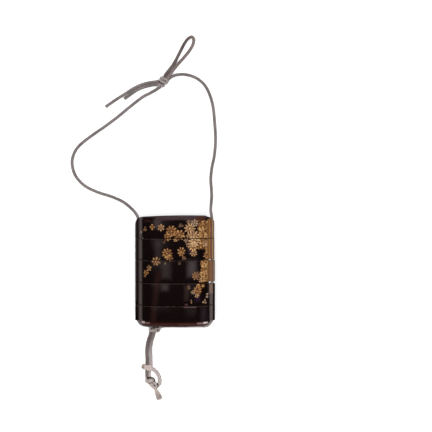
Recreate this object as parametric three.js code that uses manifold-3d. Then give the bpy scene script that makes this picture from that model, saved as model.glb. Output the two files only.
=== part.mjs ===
// A four-case inro and its silk cord: a lacquered box of stacked cases under a lid,
// with a tubular cord runner up each side. It lies on its back, as when it is loose.
// Sizes are in millimetres. X runs across the case, Y along it towards the lid, and Z up,
// out of its front. The origin is in the middle of the back, on what the case lies on.

import * as THREE from 'three';
import { mergeVertices } from 'three/addons/utils/BufferGeometryUtils.js';
import Module from 'manifold-3d';

const wasm = await Module();
wasm.setup();

// Outer form of the closed case, without its runners
const BODY_WIDTH = 50.2;
const BODY_THICKNESS = 22;
const SECTION_POWER = 2.5;
const RIM_RADIUS = 3.3;
const CROWN = 1;
const BACK_FLAT_DEPTH = 0.25;

// Height of each piece that shows, and the seam between two of them
const LID_HEIGHT = 16.9;
const CASE_1_HEIGHT = 15.9;
const CASE_2_HEIGHT = 16.8;
const CASE_3_HEIGHT = 16.7;
const CASE_4_HEIGHT = 16.3;
const SEAM = 0.3;

// Walls. A riser is the inner lip of a case, which goes up into the piece above it.
const SKIRT_WALL = 1.5;
const RISER_WALL = 1;
const RISER_HEIGHT = 6.5;
const RISER_CLEARANCE = 0.3;
const FLOOR = 1.5;
const LID_TOP = 2;
const BASE_FLOOR = 2.2;

// Cord runners: their axis stands out from the side of the body, and a flat web joins the
// tube to it. Seen from the front, their upper ends are cut to a rounded corner.
const RUNNER_DIAMETER = 4.8;
const RUNNER_BORE = 2.8;
const RUNNER_STAND = 2.1;
const RUNNER_WEB = 4.2;
const RUNNER_TOP_INSET = 0.9;
const RUNNER_BASE_INSET = 5;
const RUNNER_CHAMFER = 0.6;
const RUNNER_CORNER = 6;

// Worn gaps in the right runner, at the seams under case 2 and under case 1
const WORN_GAP_UNDER_CASE_2 = 1.1;
const WORN_GAP_UNDER_CASE_1 = 0.6;

// Silk cord, the space that its tubes keep from the knots, how far inside the runners'
// mouths the held stretches end, and the space between the cord and what the case lies on
const CORD_DIAMETER = 2;
const CORD_GAP = 0.3;
const HELD_INSET = 0.6;
const CORD_LIFT = 0.05;

// How finely round things are faceted
const SECTION_SEGMENTS = 48;
const RIM_STEPS = 4;
const DOME_STEPS = 2;
const RUNNER_SEGMENTS = 20;
const CORNER_STEPS = 6;
const CORD_SIDES = 8;
const KNOT_SIDES = 12;
const MERGE_DISTANCE = 1e-4;

// How far a cutting solid runs past what it cuts
const OVERSHOOT = 1;

// Sizes that follow from those
const HALF_WIDTH = BODY_WIDTH / 2;
const HALF_THICKNESS = BODY_THICKNESS / 2;
const AXIS_HEIGHT = HALF_THICKNESS - BACK_FLAT_DEPTH;
const INNER_OFFSET = SKIRT_WALL + RISER_CLEARANCE + RISER_WALL;
const RECESS_HEIGHT = RISER_HEIGHT + RISER_CLEARANCE;
const RUNNER_X = HALF_WIDTH + RUNNER_STAND;
const CORD_RADIUS = CORD_DIAMETER / 2;

// The pieces from the lid down, each with the heights that it lies between
const TIERS = [
  { name: 'lid', height: LID_HEIGHT },
  { name: 'case_1', height: CASE_1_HEIGHT },
  { name: 'case_2', height: CASE_2_HEIGHT, wornGap: WORN_GAP_UNDER_CASE_1 },
  { name: 'case_3', height: CASE_3_HEIGHT, wornGap: WORN_GAP_UNDER_CASE_2 },
  { name: 'case_4', height: CASE_4_HEIGHT },
];
const CASE_LENGTH = TIERS.reduce((sum, tier) => sum + tier.height, 0);
const TOP = CASE_LENGTH / 2;
const BASE = -CASE_LENGTH / 2;
let nextTop = TOP;
for (const tier of TIERS) {
  tier.top = nextTop;
  tier.bottom = nextTop - tier.height;
  nextTop = tier.bottom;
}

// The ends of the runners, the middle of their rounded upper corner, and where the cord
// comes out of them: at the top that is the lowest point of the slanted mouth
const RUNNER_TOP = TOP - RUNNER_TOP_INSET;
const RUNNER_BASE = BASE + RUNNER_BASE_INSET;
const CORNER_X = RUNNER_X + RUNNER_DIAMETER / 2 - RUNNER_CORNER;
const CORNER_Y = RUNNER_TOP - RUNNER_CORNER;
const MOUTH_REACH = RUNNER_X + RUNNER_BORE / 2 - CORNER_X;
const RUNNER_MOUTH_TOP = CORNER_Y + Math.sqrt(RUNNER_CORNER ** 2 - MOUTH_REACH ** 2);
const RUNNER_MOUTH_BASE = RUNNER_BASE;

// Finishes
const lacquer = new THREE.MeshStandardMaterial({ color: 0x1c0d0d, roughness: 0.18, metalness: 0 });
const silk = new THREE.MeshStandardMaterial({ color: 0x6f6461, roughness: 0.8, metalness: 0 });
const silkEnd = new THREE.MeshStandardMaterial({ color: 0xb8a59a, roughness: 0.9, metalness: 0 });

// A closed geometry as a solid that can be joined and cut
function solid(geometry) {
  const bare = geometry.index ? geometry.toNonIndexed() : geometry.clone();
  bare.deleteAttribute('normal');
  bare.deleteAttribute('uv');
  const merged = mergeVertices(bare, MERGE_DISTANCE);
  const corners = merged.index.array;
  const triangles = [];
  for (let i = 0; i < corners.length; i += 3) {
    const [a, b, c] = corners.slice(i, i + 3);
    if (a !== b && b !== c && c !== a) triangles.push(a, b, c);
  }
  return new wasm.Manifold(new wasm.Mesh({
    numProp: 3,
    vertProperties: Float32Array.from(merged.attributes.position.array),
    triVerts: Uint32Array.from(triangles),
  }));
}

// A named mesh of a solid
function meshOf(name, shape, material) {
  const { vertProperties, triVerts } = shape.getMesh();
  const geometry = new THREE.BufferGeometry();
  geometry.setAttribute('position', new THREE.BufferAttribute(vertProperties, 3));
  geometry.setIndex(new THREE.BufferAttribute(triVerts, 1));
  geometry.computeVertexNormals();
  const mesh = new THREE.Mesh(geometry, material);
  mesh.name = name;
  return mesh;
}

// A point of the flattened oval that every section across the case follows
function ovalPoint(halfWidth, halfThickness, angle) {
  const across = Math.cos(angle);
  const out = Math.sin(angle);
  const power = 2 / SECTION_POWER;
  return new THREE.Vector2(
    halfWidth * Math.sign(across) * Math.abs(across) ** power,
    halfThickness * Math.sign(out) * Math.abs(out) ** power,
  );
}

// The closed case as one solid. It is turned from half of its outline, then pressed oval:
// the rounded rims keep their radius all the way round, and the ends are slightly domed.
function closedForm() {
  const profile = [];
  const flatHalf = HALF_WIDTH - RIM_RADIUS;
  for (let i = 0; i <= DOME_STEPS; i++) {
    const share = i / DOME_STEPS;
    profile.push(new THREE.Vector2(share * flatHalf, BASE + CROWN * share ** 2));
  }
  for (let i = 1; i <= RIM_STEPS; i++) {
    const angle = (i / RIM_STEPS) * (Math.PI / 2);
    profile.push(new THREE.Vector2(
      flatHalf + RIM_RADIUS * Math.sin(angle),
      BASE + CROWN + RIM_RADIUS * (1 - Math.cos(angle)),
    ));
  }
  const upperHalf = profile.map((point) => new THREE.Vector2(point.x, -point.y)).reverse();
  const geometry = new THREE.LatheGeometry([...profile, ...upperHalf], SECTION_SEGMENTS);
  const position = geometry.attributes.position;
  for (let i = 0; i < position.count; i++) {
    const radius = Math.hypot(position.getX(i), position.getZ(i));
    const angle = Math.atan2(position.getZ(i), position.getX(i));
    const inset = Math.min(HALF_WIDTH - radius, RIM_RADIUS);
    const share = radius / (HALF_WIDTH - inset);
    const point = ovalPoint((HALF_WIDTH - inset) * share, (HALF_THICKNESS - inset) * share, angle);
    position.setX(i, point.x);
    position.setZ(i, point.y);
  }
  return solid(geometry);
}

// A prism of the oval section, set in from the outer face, between two heights
function ovalPrism(inset, bottom, top) {
  const outline = [];
  for (let i = 0; i < SECTION_SEGMENTS; i++) {
    const angle = (i / SECTION_SEGMENTS) * 2 * Math.PI;
    outline.push(ovalPoint(HALF_WIDTH - inset, HALF_THICKNESS - inset, angle));
  }
  const shape = new THREE.Shape(outline);
  const geometry = new THREE.ExtrudeGeometry(shape, { depth: top - bottom, bevelEnabled: false });
  geometry.rotateX(-Math.PI / 2);
  geometry.translate(0, bottom, 0);
  return solid(geometry);
}

// A block between two heights that is wider and thicker than the whole case
function slab(bottom, top) {
  const width = 2 * (BODY_WIDTH + RUNNER_DIAMETER);
  const block = new THREE.BoxGeometry(width, top - bottom, 2 * BODY_THICKNESS);
  block.translate(0, (top + bottom) / 2, 0);
  return solid(block);
}

// A rod along Y at the runner's place, with its two ends chamfered
function runnerRod(side, diameter, bottom, top, chamfer) {
  const radius = diameter / 2;
  const profile = [
    new THREE.Vector2(0, bottom),
    new THREE.Vector2(radius - chamfer, bottom),
    new THREE.Vector2(radius, bottom + chamfer),
    new THREE.Vector2(radius, top - chamfer),
    new THREE.Vector2(radius - chamfer, top),
    new THREE.Vector2(0, top),
  ];
  const rod = new THREE.LatheGeometry(profile, RUNNER_SEGMENTS);
  rod.translate(side * RUNNER_X, 0, 0);
  return solid(rod);
}

// The web between the body and a runner's tube
function runnerWeb(side, bottom, top) {
  const reach = RIM_RADIUS + RUNNER_STAND;
  const web = new THREE.BoxGeometry(reach, top - bottom, RUNNER_WEB);
  web.translate(side * (RUNNER_X - reach / 2), (top + bottom) / 2, 0);
  return solid(web);
}

// What is cut away outside the rounded upper corner of a runner
function outsideCorner(side) {
  const outline = new THREE.Shape();
  outline.moveTo(CORNER_X, RUNNER_TOP);
  outline.absarc(CORNER_X, CORNER_Y, RUNNER_CORNER, Math.PI / 2, 0, true);
  outline.lineTo(CORNER_X + RUNNER_CORNER + OVERSHOOT, CORNER_Y);
  outline.lineTo(CORNER_X + RUNNER_CORNER + OVERSHOOT, RUNNER_TOP + OVERSHOOT);
  outline.lineTo(CORNER_X, RUNNER_TOP + OVERSHOOT);
  const geometry = new THREE.ExtrudeGeometry(outline, {
    depth: BODY_THICKNESS,
    bevelEnabled: false,
    curveSegments: CORNER_STEPS,
  });
  geometry.translate(0, 0, -HALF_THICKNESS);
  if (side < 0) geometry.rotateY(Math.PI);
  return solid(geometry);
}

// The closed case with its runners, bored through for the cord, and the flat on its back
function closedCase() {
  let shape = closedForm();
  for (const side of [-1, 1]) {
    const tube = runnerRod(side, RUNNER_DIAMETER, RUNNER_BASE, RUNNER_TOP, RUNNER_CHAMFER);
    const runner = tube.add(runnerWeb(side, RUNNER_BASE, RUNNER_TOP));
    shape = shape.add(runner.subtract(outsideCorner(side)));
    shape = shape.subtract(runnerRod(side, RUNNER_BORE, BASE, TOP, 0));
  }
  for (const tier of TIERS.filter((each) => each.wornGap)) {
    const gap = new THREE.BoxGeometry(RUNNER_DIAMETER, tier.wornGap, RUNNER_DIAMETER + OVERSHOOT);
    gap.translate(HALF_WIDTH + RUNNER_DIAMETER / 2, tier.top, 0);
    shape = shape.subtract(solid(gap));
  }
  const under = new THREE.BoxGeometry(2 * BODY_WIDTH, 2 * CASE_LENGTH, BODY_THICKNESS);
  under.translate(0, 0, -AXIS_HEIGHT - BODY_THICKNESS / 2);
  return shape.subtract(solid(under));
}

// One piece of the stack: a slice of the closed case, hollowed from above or below.
// All but the lid carry a riser, and all but the lowest have a recess under their floor.
function stackedPiece(tier, whole) {
  const isLid = tier === TIERS[0];
  const isLowest = tier === TIERS[TIERS.length - 1];
  const sliceBottom = isLowest ? tier.bottom - OVERSHOOT : tier.bottom + SEAM / 2;
  const sliceTop = isLid ? tier.top + OVERSHOOT : tier.top - SEAM / 2;
  const recessTop = tier.bottom + RECESS_HEIGHT;
  let shape = whole.intersect(slab(sliceBottom, sliceTop));
  if (!isLowest) {
    shape = shape.subtract(ovalPrism(SKIRT_WALL, tier.bottom - OVERSHOOT, recessTop));
  }
  if (isLid) {
    const ceiling = tier.top - CROWN - LID_TOP;
    return shape.subtract(ovalPrism(INNER_OFFSET, tier.bottom, ceiling));
  }
  const floorTop = isLowest ? tier.bottom + CROWN + BASE_FLOOR : recessTop + FLOOR;
  const riserTop = tier.top + RISER_HEIGHT;
  shape = shape.add(ovalPrism(SKIRT_WALL + RISER_CLEARANCE, sliceTop - FLOOR, riserTop));
  return shape.subtract(ovalPrism(INNER_OFFSET, floorTop, riserTop + OVERSHOOT));
}

// Routes of the cord, chosen by hand where it lies loose. Each cord tube ends at a knot.
const LYING = CORD_RADIUS + CORD_LIFT;
const ROUTES = {
  cord_left_arc: {
    steps: 24,
    points: [
      [-RUNNER_X, RUNNER_MOUTH_TOP, AXIS_HEIGHT], [-27.6, 39.7, 10.7], [-29.2, 42.6, 9.2],
      [-33.8, 47.2, 4.6], [-39.6, 51.5, 1.7], [-48.6, 55.5, LYING], [-58.6, 58.7, LYING],
      [-68.5, 63.7, LYING], [-75.4, 71.4, LYING], [-77.8, 81.2, LYING], [-75.8, 88.9, LYING],
      [-71.9, 94.1, LYING], [-63.1, 101.1, LYING], [-53.3, 107.9, LYING], [-44.2, 114.7, LYING],
      [-33.7, 123.3, LYING], [-24.4, 130.4, LYING], [-18.6, 133.4, 1.2], [-13.4, 136.4, 1.7],
      [-11.2, 138, 2.2],
    ],
  },
  cord_right_arc: {
    steps: 20,
    points: [
      [RUNNER_X, RUNNER_MOUTH_TOP, AXIS_HEIGHT], [27.1, 40.6, 10.7], [26.5, 44.6, 9.9],
      [26.7, 49.4, 6.4], [27.1, 55.4, 2.3], [26.8, 62, LYING], [26.4, 68.4, LYING],
      [27.3, 77.2, LYING], [29.1, 86.1, LYING], [30, 97.9, LYING], [29.3, 111.7, LYING],
      [28, 123.5, LYING], [25.5, 132.2, LYING], [22, 138.9, LYING], [17.2, 143.4, LYING],
      [11.3, 146.2, LYING], [5.5, 147.2, LYING], [0, 146.6, LYING], [-4.1, 144.7, LYING],
      [-7, 141.6, 1.4],
    ],
  },
  cord_loop: {
    steps: 14,
    points: [
      [-8.7, 143.7, 3.6], [-6.9, 147.1, 3.4], [-4.3, 150.6, 2.6], [-1.8, 154.1, 1.6],
      [1.3, 160, LYING], [4, 165.4, LYING], [6.8, 170.6, LYING], [9.4, 174, LYING],
      [12, 175.4, LYING], [13.6, 173.8, LYING], [13, 169.6, LYING], [10.1, 164.6, LYING],
      [6, 159.6, LYING], [1.9, 154.3, 1.6], [-1.4, 149.9, 2.6], [-4.4, 145.6, 3.4],
      [-6.6, 142.4, 3.6],
    ],
  },
  cord_tail_long: {
    steps: 6,
    points: [
      [-10.8, 142.3, 2.4], [-14.6, 141.7, 1.5], [-19.2, 141.1, LYING], [-25.2, 139.6, LYING],
      [-31.2, 136.9, LYING], [-37.2, 133, LYING], [-44.7, 128.3, LYING], [-52.6, 122.8, LYING],
    ],
  },
  cord_tail_short: {
    steps: 4,
    points: [
      [-10.8, 139.9, 2.4], [-14.6, 139.3, 1.5], [-19.2, 138.7, LYING], [-25, 137, LYING],
      [-30.2, 134.3, LYING], [-34.6, 131.2, LYING], [-38.4, 128.6, LYING],
    ],
  },
  cord_left_base: {
    steps: 5,
    points: [
      [-RUNNER_X, RUNNER_MOUTH_BASE, AXIS_HEIGHT], [-26.4, -38.9, 9.6], [-24.7, -40.6, 7.8],
      [-22, -41.7, 5.6], [-19.3, -43, 3.4], [-17.3, -44.6, 2.4],
    ],
  },
  cord_right_base: {
    steps: 10,
    points: [
      [RUNNER_X, RUNNER_MOUTH_BASE, AXIS_HEIGHT], [26.1, -38.8, 9.6], [24.6, -40.6, 7.4],
      [21.8, -41.7, 4.5], [18, -41.7, 2], [12, -41.6, 1.15], [4, -41.5, LYING],
      [-4, -41.8, LYING], [-9.4, -42.9, 1.3], [-13.4, -44.6, 2],
    ],
  },
  cord_left_strand: {
    steps: 5,
    points: [
      [-18.4, -45.4, 1.6], [-18.9, -48.4, LYING], [-20.3, -51.4, LYING], [-21.5, -55.6, LYING],
      [-22.1, -61.3, LYING], [-21.6, -67.3, LYING], [-21.3, -72, 1.6],
    ],
  },
  cord_right_strand: {
    steps: 5,
    points: [
      [-15.8, -45.4, 1.6], [-16.6, -48.6, LYING], [-17.9, -52.8, LYING], [-18.8, -58.6, LYING],
      [-18.6, -65.3, LYING], [-18.5, -72, 1.6],
    ],
  },
  cord_left_tail: {
    steps: 1,
    points: [[-20.6, -74.2, 1.5], [-20.5, -83, 1.5]],
  },
  cord_right_tail: {
    steps: 5,
    points: [
      [-18.9, -73.4, 1.5], [-16.3, -74.7, LYING], [-13.6, -77.4, LYING], [-11.9, -81.9, LYING],
      [-12.5, -85.8, LYING], [-15.6, -87, 1.5],
    ],
  },
};

// Knots, as plain rounded solids: the middle in plan, half sizes, and the turn in plan
const KNOTS = {
  knot_top: { at: [-9.4, 142], half: [5.6, 3.3, 2.6], turn: 0.93 },
  knot_base: { at: [-15.9, -45], half: [4.3, 2.3, 2], turn: 0 },
  knot_tail_upper: { at: [-20, -73.4], half: [3.4, 2.8, 2.2], turn: 0 },
  knot_tail_lower: { at: [-17.8, -84.9], half: [5, 2.9, 2.1], turn: -0.79 },
};

function knotSolid({ at, half, turn }, extra) {
  const geometry = new THREE.SphereGeometry(1, KNOT_SIDES, KNOT_SIDES / 2);
  geometry.rotateX(Math.PI / 2);
  geometry.scale(half[0] + extra, half[1] + extra, half[2] + extra);
  geometry.rotateZ(turn);
  geometry.translate(at[0], at[1], half[2] + LYING - CORD_RADIUS);
  return solid(geometry);
}

// A tube of cord along a route, cut back wherever it would run into a knot
function cordTube({ points, steps }) {
  const outline = [];
  for (let i = 0; i < CORD_SIDES; i++) {
    const angle = (i / CORD_SIDES) * 2 * Math.PI;
    outline.push(new THREE.Vector2(CORD_RADIUS * Math.cos(angle), CORD_RADIUS * Math.sin(angle)));
  }
  const route = new THREE.CatmullRomCurve3(points.map((point) => new THREE.Vector3(...point)));
  const geometry = new THREE.ExtrudeGeometry(new THREE.Shape(outline), {
    steps,
    extrudePath: route,
    bevelEnabled: false,
  });
  let tube = solid(geometry);
  for (const knot of Object.values(KNOTS)) {
    tube = tube.subtract(knotSolid(knot, CORD_GAP));
  }
  return tube;
}

// The stretch of cord that is held inside a runner
function heldCord(side) {
  const bottom = RUNNER_MOUTH_BASE + HELD_INSET;
  return runnerRod(side, CORD_DIAMETER, bottom, RUNNER_MOUTH_TOP - HELD_INSET, 0);
}

// The brush of loose silk at the end of the tail, flattened where it lies
const TUFT = { from: [-14, -89.1], to: [-11.2, -97.4], neck: 0.9, belly: 2.5, flatness: 0.55 };

function tuftSolid() {
  const start = new THREE.Vector2(...TUFT.from);
  const run = new THREE.Vector2(...TUFT.to).sub(start);
  const length = run.length();
  const profile = [
    new THREE.Vector2(0, 0),
    new THREE.Vector2(TUFT.neck, 0),
    new THREE.Vector2(0.75 * TUFT.belly, 0.45 * length),
    new THREE.Vector2(TUFT.belly, 0.75 * length),
    new THREE.Vector2(0.7 * TUFT.belly, 0.95 * length),
    new THREE.Vector2(0, length),
  ];
  const geometry = new THREE.LatheGeometry(profile, KNOT_SIDES);
  geometry.scale(1, 1, TUFT.flatness);
  geometry.rotateZ(run.angle() - Math.PI / 2);
  geometry.translate(start.x, start.y, TUFT.belly * TUFT.flatness + LYING - CORD_RADIUS);
  return solid(geometry);
}

// The cut end of a strand, frayed out beside the upper knot of the tail
const FRAYED_END = { at: [-25.5, -72.6], half: [1.7, 2, 1.3], turn: 0 };

// The whole object
const inro = new THREE.Group();
const caseGroup = new THREE.Group();
caseGroup.position.z = AXIS_HEIGHT;
inro.add(caseGroup);

const whole = closedCase();
for (const tier of TIERS) {
  caseGroup.add(meshOf(tier.name, stackedPiece(tier, whole), lacquer));
}
caseGroup.add(meshOf('cord_left_held', heldCord(-1), silk));
caseGroup.add(meshOf('cord_right_held', heldCord(1), silk));

for (const [name, route] of Object.entries(ROUTES)) {
  inro.add(meshOf(name, cordTube(route), silk));
}
for (const [name, knot] of Object.entries(KNOTS)) {
  inro.add(meshOf(name, knotSolid(knot, 0), silk));
}
inro.add(meshOf('frayed_end', knotSolid(FRAYED_END, 0), silkEnd));
inro.add(meshOf('tuft', tuftSolid(), silkEnd));

export default inro;
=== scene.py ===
# %% [markdown]
# # An inro on its silk cord
#
# An inro is a small lacquered box in several stacked cases, closed by a lid. It hung from the
# sash on one silk cord, which runs through a tube up each side. This lesson dresses the packed
# CAD model of one in Blender: the cord, its knots, the lacquered tiers and their gold picture.
# The CAD frame gives the sizes and places, so it is loaded first and never moved.

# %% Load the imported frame
import math
import random

import bmesh
import bpy
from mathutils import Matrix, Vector


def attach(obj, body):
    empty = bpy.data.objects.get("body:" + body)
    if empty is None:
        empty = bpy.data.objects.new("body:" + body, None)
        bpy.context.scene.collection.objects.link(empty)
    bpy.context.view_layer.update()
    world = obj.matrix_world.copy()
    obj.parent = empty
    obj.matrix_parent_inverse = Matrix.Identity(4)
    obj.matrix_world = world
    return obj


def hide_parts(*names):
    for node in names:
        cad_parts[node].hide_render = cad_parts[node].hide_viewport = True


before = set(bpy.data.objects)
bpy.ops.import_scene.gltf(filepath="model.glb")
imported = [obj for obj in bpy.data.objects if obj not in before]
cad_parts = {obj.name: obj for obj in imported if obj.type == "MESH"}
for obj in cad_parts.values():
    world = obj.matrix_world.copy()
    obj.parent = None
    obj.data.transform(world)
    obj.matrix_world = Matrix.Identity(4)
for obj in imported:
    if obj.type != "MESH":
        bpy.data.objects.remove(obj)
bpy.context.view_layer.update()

# %% [markdown]
# ## Camera
#
# The photograph looks straight down on the case where it lies on a white table. A camera without
# perspective would be simpler, but a real lens sees a little of the near sides, so this one is a
# long lens about 0.77 m up. It is made before the cords, because the last check of the cords
# looks at what it sees.

# %% Camera straight above
MM = 0.001
LENS = 85
SENSOR = 36
CAMERA_PLACE = Vector((30.35, 40.8, 767.55)) * MM

camera_data = bpy.data.cameras.new("camera")
camera_data.lens = LENS
camera_data.sensor_width = SENSOR
camera_data.clip_start = 0.01
camera = bpy.data.objects.new("camera", camera_data)
camera.location = CAMERA_PLACE
bpy.context.scene.collection.objects.link(camera)
bpy.context.scene.camera = camera
print("Camera height in mm:", round(camera.location.z * 1000))

# %% [markdown]
# ## Shader helpers
#
# Every finish here is a small tree of shader nodes. The nodes could be wired by hand in the
# editor, but helpers keep the trees short and alike: they start a material or a group, add a
# maths node, map a range of values, and mix colours. Effects that several finishes share become
# node groups with named inputs and outputs.

# %% Start a material or a group
def start_material(name):
    """A material with its nodes, its Principled shader and its object coordinates in mm."""
    material = bpy.data.materials.new(name)
    material.use_nodes = True
    nodes = material.node_tree.nodes
    shader = nodes["Principled BSDF"]
    coordinates = nodes.new("ShaderNodeTexCoord")
    place = nodes.new("ShaderNodeVectorMath")
    place.operation = "SCALE"
    place.inputs["Scale"].default_value = 1 / MM
    material.node_tree.links.new(coordinates.outputs["Object"], place.inputs[0])
    return material, material.node_tree, shader, place.outputs[0]


def start_group(name, inputs, outputs):
    """A node group with the named sockets, given as (name, kind), and its two ends."""
    group = bpy.data.node_groups.new(name, "ShaderNodeTree")
    for title, kind in inputs:
        group.interface.new_socket(name=title, in_out="INPUT", socket_type="NodeSocket" + kind)
    for title, kind in outputs:
        group.interface.new_socket(name=title, in_out="OUTPUT", socket_type="NodeSocket" + kind)
    return group, group.nodes.new("NodeGroupInput"), group.nodes.new("NodeGroupOutput")


print("Materials read their place in mm, so the scale is", round(1 / MM))

# %% Maths on shader values


def feed(tree, socket, value):
    """Link a socket to another, or set it to a plain value."""
    if isinstance(value, bpy.types.NodeSocket):
        tree.links.new(value, socket)
    else:
        socket.default_value = value


def maths(tree, operation, *values):
    """A maths node on links or plain numbers."""
    node = tree.nodes.new("ShaderNodeMath")
    node.operation = operation
    for socket, value in zip(node.inputs, values):
        feed(tree, socket, value)
    return node.outputs[0]


def plus(tree, first, second):
    return maths(tree, "ADD", first, second)


def minus(tree, first, second):
    return maths(tree, "SUBTRACT", first, second)


def times(tree, first, second):
    return maths(tree, "MULTIPLY", first, second)


def larger(tree, first, second):
    return maths(tree, "MAXIMUM", first, second)


def size_of(tree, value):
    return maths(tree, "ABSOLUTE", value)


def vectors(tree, operation, *values):
    """A vector maths node on links or plain vectors."""
    node = tree.nodes.new("ShaderNodeVectorMath")
    node.operation = operation
    for socket, value in zip(node.inputs, values):
        feed(tree, socket, value)
    return node.outputs["Value" if operation == "DOT_PRODUCT" else "Vector"]


def spread(tree, value, low, high, to_low=0.0, to_high=1.0):
    """Map a value smoothly from low..high to to_low..to_high."""
    node = tree.nodes.new("ShaderNodeMapRange")
    node.interpolation_type = "SMOOTHSTEP"
    feed(tree, node.inputs["Value"], value)
    feed(tree, node.inputs["From Min"], low)
    feed(tree, node.inputs["From Max"], high)
    feed(tree, node.inputs["To Min"], to_low)
    feed(tree, node.inputs["To Max"], to_high)
    return node.outputs["Result"]


print("Maths helpers:", [helper.__name__ for helper in (plus, minus, times, larger, size_of)])

# %% Noise, mixed colours and relief


def noise(tree, place, scale, detail=2.0):
    """Soft noise at a scale given per mm."""
    node = tree.nodes.new("ShaderNodeTexNoise")
    feed(tree, node.inputs["Vector"], place)
    node.inputs["Scale"].default_value = scale
    node.inputs["Detail"].default_value = detail
    return node.outputs["Fac"]


def blend_colors(tree, share, first, second):
    """Mix two colours by a share."""
    node = tree.nodes.new("ShaderNodeMix")
    node.data_type = "RGBA"
    feed(tree, node.inputs["Factor"], share)
    feed(tree, node.inputs["A"], first)
    feed(tree, node.inputs["B"], second)
    return node.outputs["Result"]


def bump(tree, shader, height, distance):
    """Raise the surface by a height map, by up to a distance in mm."""
    node = tree.nodes.new("ShaderNodeBump")
    node.inputs["Distance"].default_value = distance * MM
    node.inputs["Strength"].default_value = 1.0
    feed(tree, node.inputs["Height"], height)
    tree.links.new(node.outputs["Normal"], shader.inputs["Normal"])


print("Finish helpers:", [helper.__name__ for helper in (noise, blend_colors, bump)])

# %% [markdown]
# ## Silk
#
# The cord is braided silk, faded to a pinkish grey. A picture of a braid could be wrapped round
# it, but two crossing waves in the shader stay sharp and fit any length. Each cord carries a UV
# map that counts turns round it and millimetres along it, so the waves follow every bend. They
# paint shade into the grooves and raise the bundles a little.

# %% The braid pattern as a group
CORD_DIAMETER = 2.2
CORD_RADIUS = CORD_DIAMETER / 2
BRAID_BUNDLES = 4
BRAID_PITCH = 2.4


def make_braid_group():
    """Two waves that cross on a cord's UV map, as a height from 0 to 1."""
    group, start, end = start_group("braid", [("UV", "Vector")], [("Height", "Float")])
    split = group.nodes.new("ShaderNodeSeparateXYZ")
    group.links.new(start.outputs["UV"], split.inputs[0])
    across = times(group, split.outputs["X"], BRAID_BUNDLES * math.tau)
    along = times(group, split.outputs["Y"], math.tau / BRAID_PITCH)
    right = maths(group, "SINE", plus(group, across, along))
    left = maths(group, "SINE", minus(group, across, along))
    height = larger(group, right, left)
    group.links.new(spread(group, height, -0.6, 1.0), end.inputs["Height"])
    return group


braid_group = make_braid_group()
print("A braid repeats every", BRAID_PITCH, "mm")

# %% [markdown]
# Long handling has left the silk uneven: soiled in patches and nearly white at the cut ends,
# while its grooves and folds are darkened with painted shade. One recipe makes every silk from
# three colours, so the finishes stay a family. Where a cord changes colour along its way, the
# change follows its UV map; along the stretch by the base of the case the change is painted light.

# %% One recipe for all the silks
SILK_ROUGHNESS = 0.75
SILK_SHEEN = 0.2
SILK_SHEEN_ROUGHNESS = 0.4
SOIL_SHARE = 0.75
THREAD_RELIEF = 0.06


def make_silk(name, dark, light, soil, turning=None):
    """Silk from shade painted in its grooves, a bundle colour, and a soil colour in stretches.

    turning is (from, to, share): along that stretch in mm the silk turns darker or paler.
    """
    material, tree, shader, place = start_material(name)
    uv = tree.nodes.new("ShaderNodeUVMap")
    uv.uv_map = "braid"
    braid = tree.nodes.new("ShaderNodeGroup")
    braid.node_tree = braid_group
    tree.links.new(uv.outputs["UV"], braid.inputs["UV"])
    height = braid.outputs["Height"]
    # The braid's height paints shade into the grooves between the bundles.
    bundles = blend_colors(tree, height, dark, light)
    patches = spread(tree, noise(tree, place, 0.09), 0.42, 0.62, 0.0, SOIL_SHARE)
    color = blend_colors(tree, patches, bundles, soil)
    if turning:
        start, end, share = turning
        along = vectors(tree, "DOT_PRODUCT", uv.outputs["UV"], (0, 1, 0))
        change = spread(tree, along, start, end, 1.0, share)
        color = vectors(tree, "MULTIPLY", color, change)
    tree.links.new(color, shader.inputs["Base Color"])
    shader.inputs["Roughness"].default_value = SILK_ROUGHNESS
    shader.inputs["Sheen Weight"].default_value = SILK_SHEEN
    shader.inputs["Sheen Roughness"].default_value = SILK_SHEEN_ROUGHNESS
    threads = noise(tree, place, 6.0, 4.0)
    bump(tree, shader, plus(tree, height, threads), THREAD_RELIEF)
    print("Finish:", name)
    return material


# %% Silks of the cord, in groove shade, bundle and soil colours
GREY = (0.090, 0.074, 0.072, 1), (0.255, 0.220, 0.215, 1), (0.135, 0.115, 0.11, 1)
BROWN = (0.060, 0.046, 0.043, 1), (0.160, 0.127, 0.120, 1), (0.085, 0.062, 0.058, 1)

silk = make_silk("silk", *GREY)
# Over its first 42 mm, where it lies tucked along the base of the case, this silk is made paler:
# painted light against the case's shadow.
base_silk_painted_light = make_silk("base_silk_painted_light", *GREY, turning=(50, 42, 1.75))
loop_silk = make_silk("loop_silk", *BROWN, turning=(30, 40, 1.7))
left_strand_silk = make_silk("left_strand_silk", *BROWN, turning=(5, 25, 1.35))
right_strand_silk = make_silk("right_strand_silk", *GREY, turning=(3, 30, 2.2))

# %% [markdown]
# ## Pieces from bmesh
#
# Objects could be built in the editor and moved into place. Here each piece starts as a bmesh,
# which operators shape, because then a script can repeat it. A finished piece sits at the origin
# with its place in its mesh, rides on the case's body, and takes its finish as its material.

# %% Turn a bmesh into a piece
SHARP_ANGLE = math.radians(38)


def finish_piece(name, bm, material):
    """Make the bmesh a smooth-shaded object that rides on the body."""
    mesh = bpy.data.meshes.new(name)
    bm.to_mesh(mesh)
    bm.free()
    mesh.materials.append(material)
    mesh.shade_smooth()
    mesh.set_sharp_from_angle(angle=SHARP_ANGLE)
    piece = bpy.data.objects.new(name, mesh)
    bpy.context.scene.collection.objects.link(piece)
    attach(piece, "root")
    print(name, "has", sum(len(face.vertices) - 2 for face in mesh.polygons), "triangles")
    return piece


print("Edges sharper than", round(math.degrees(SHARP_ANGLE)), "degrees stay sharp")
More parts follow.
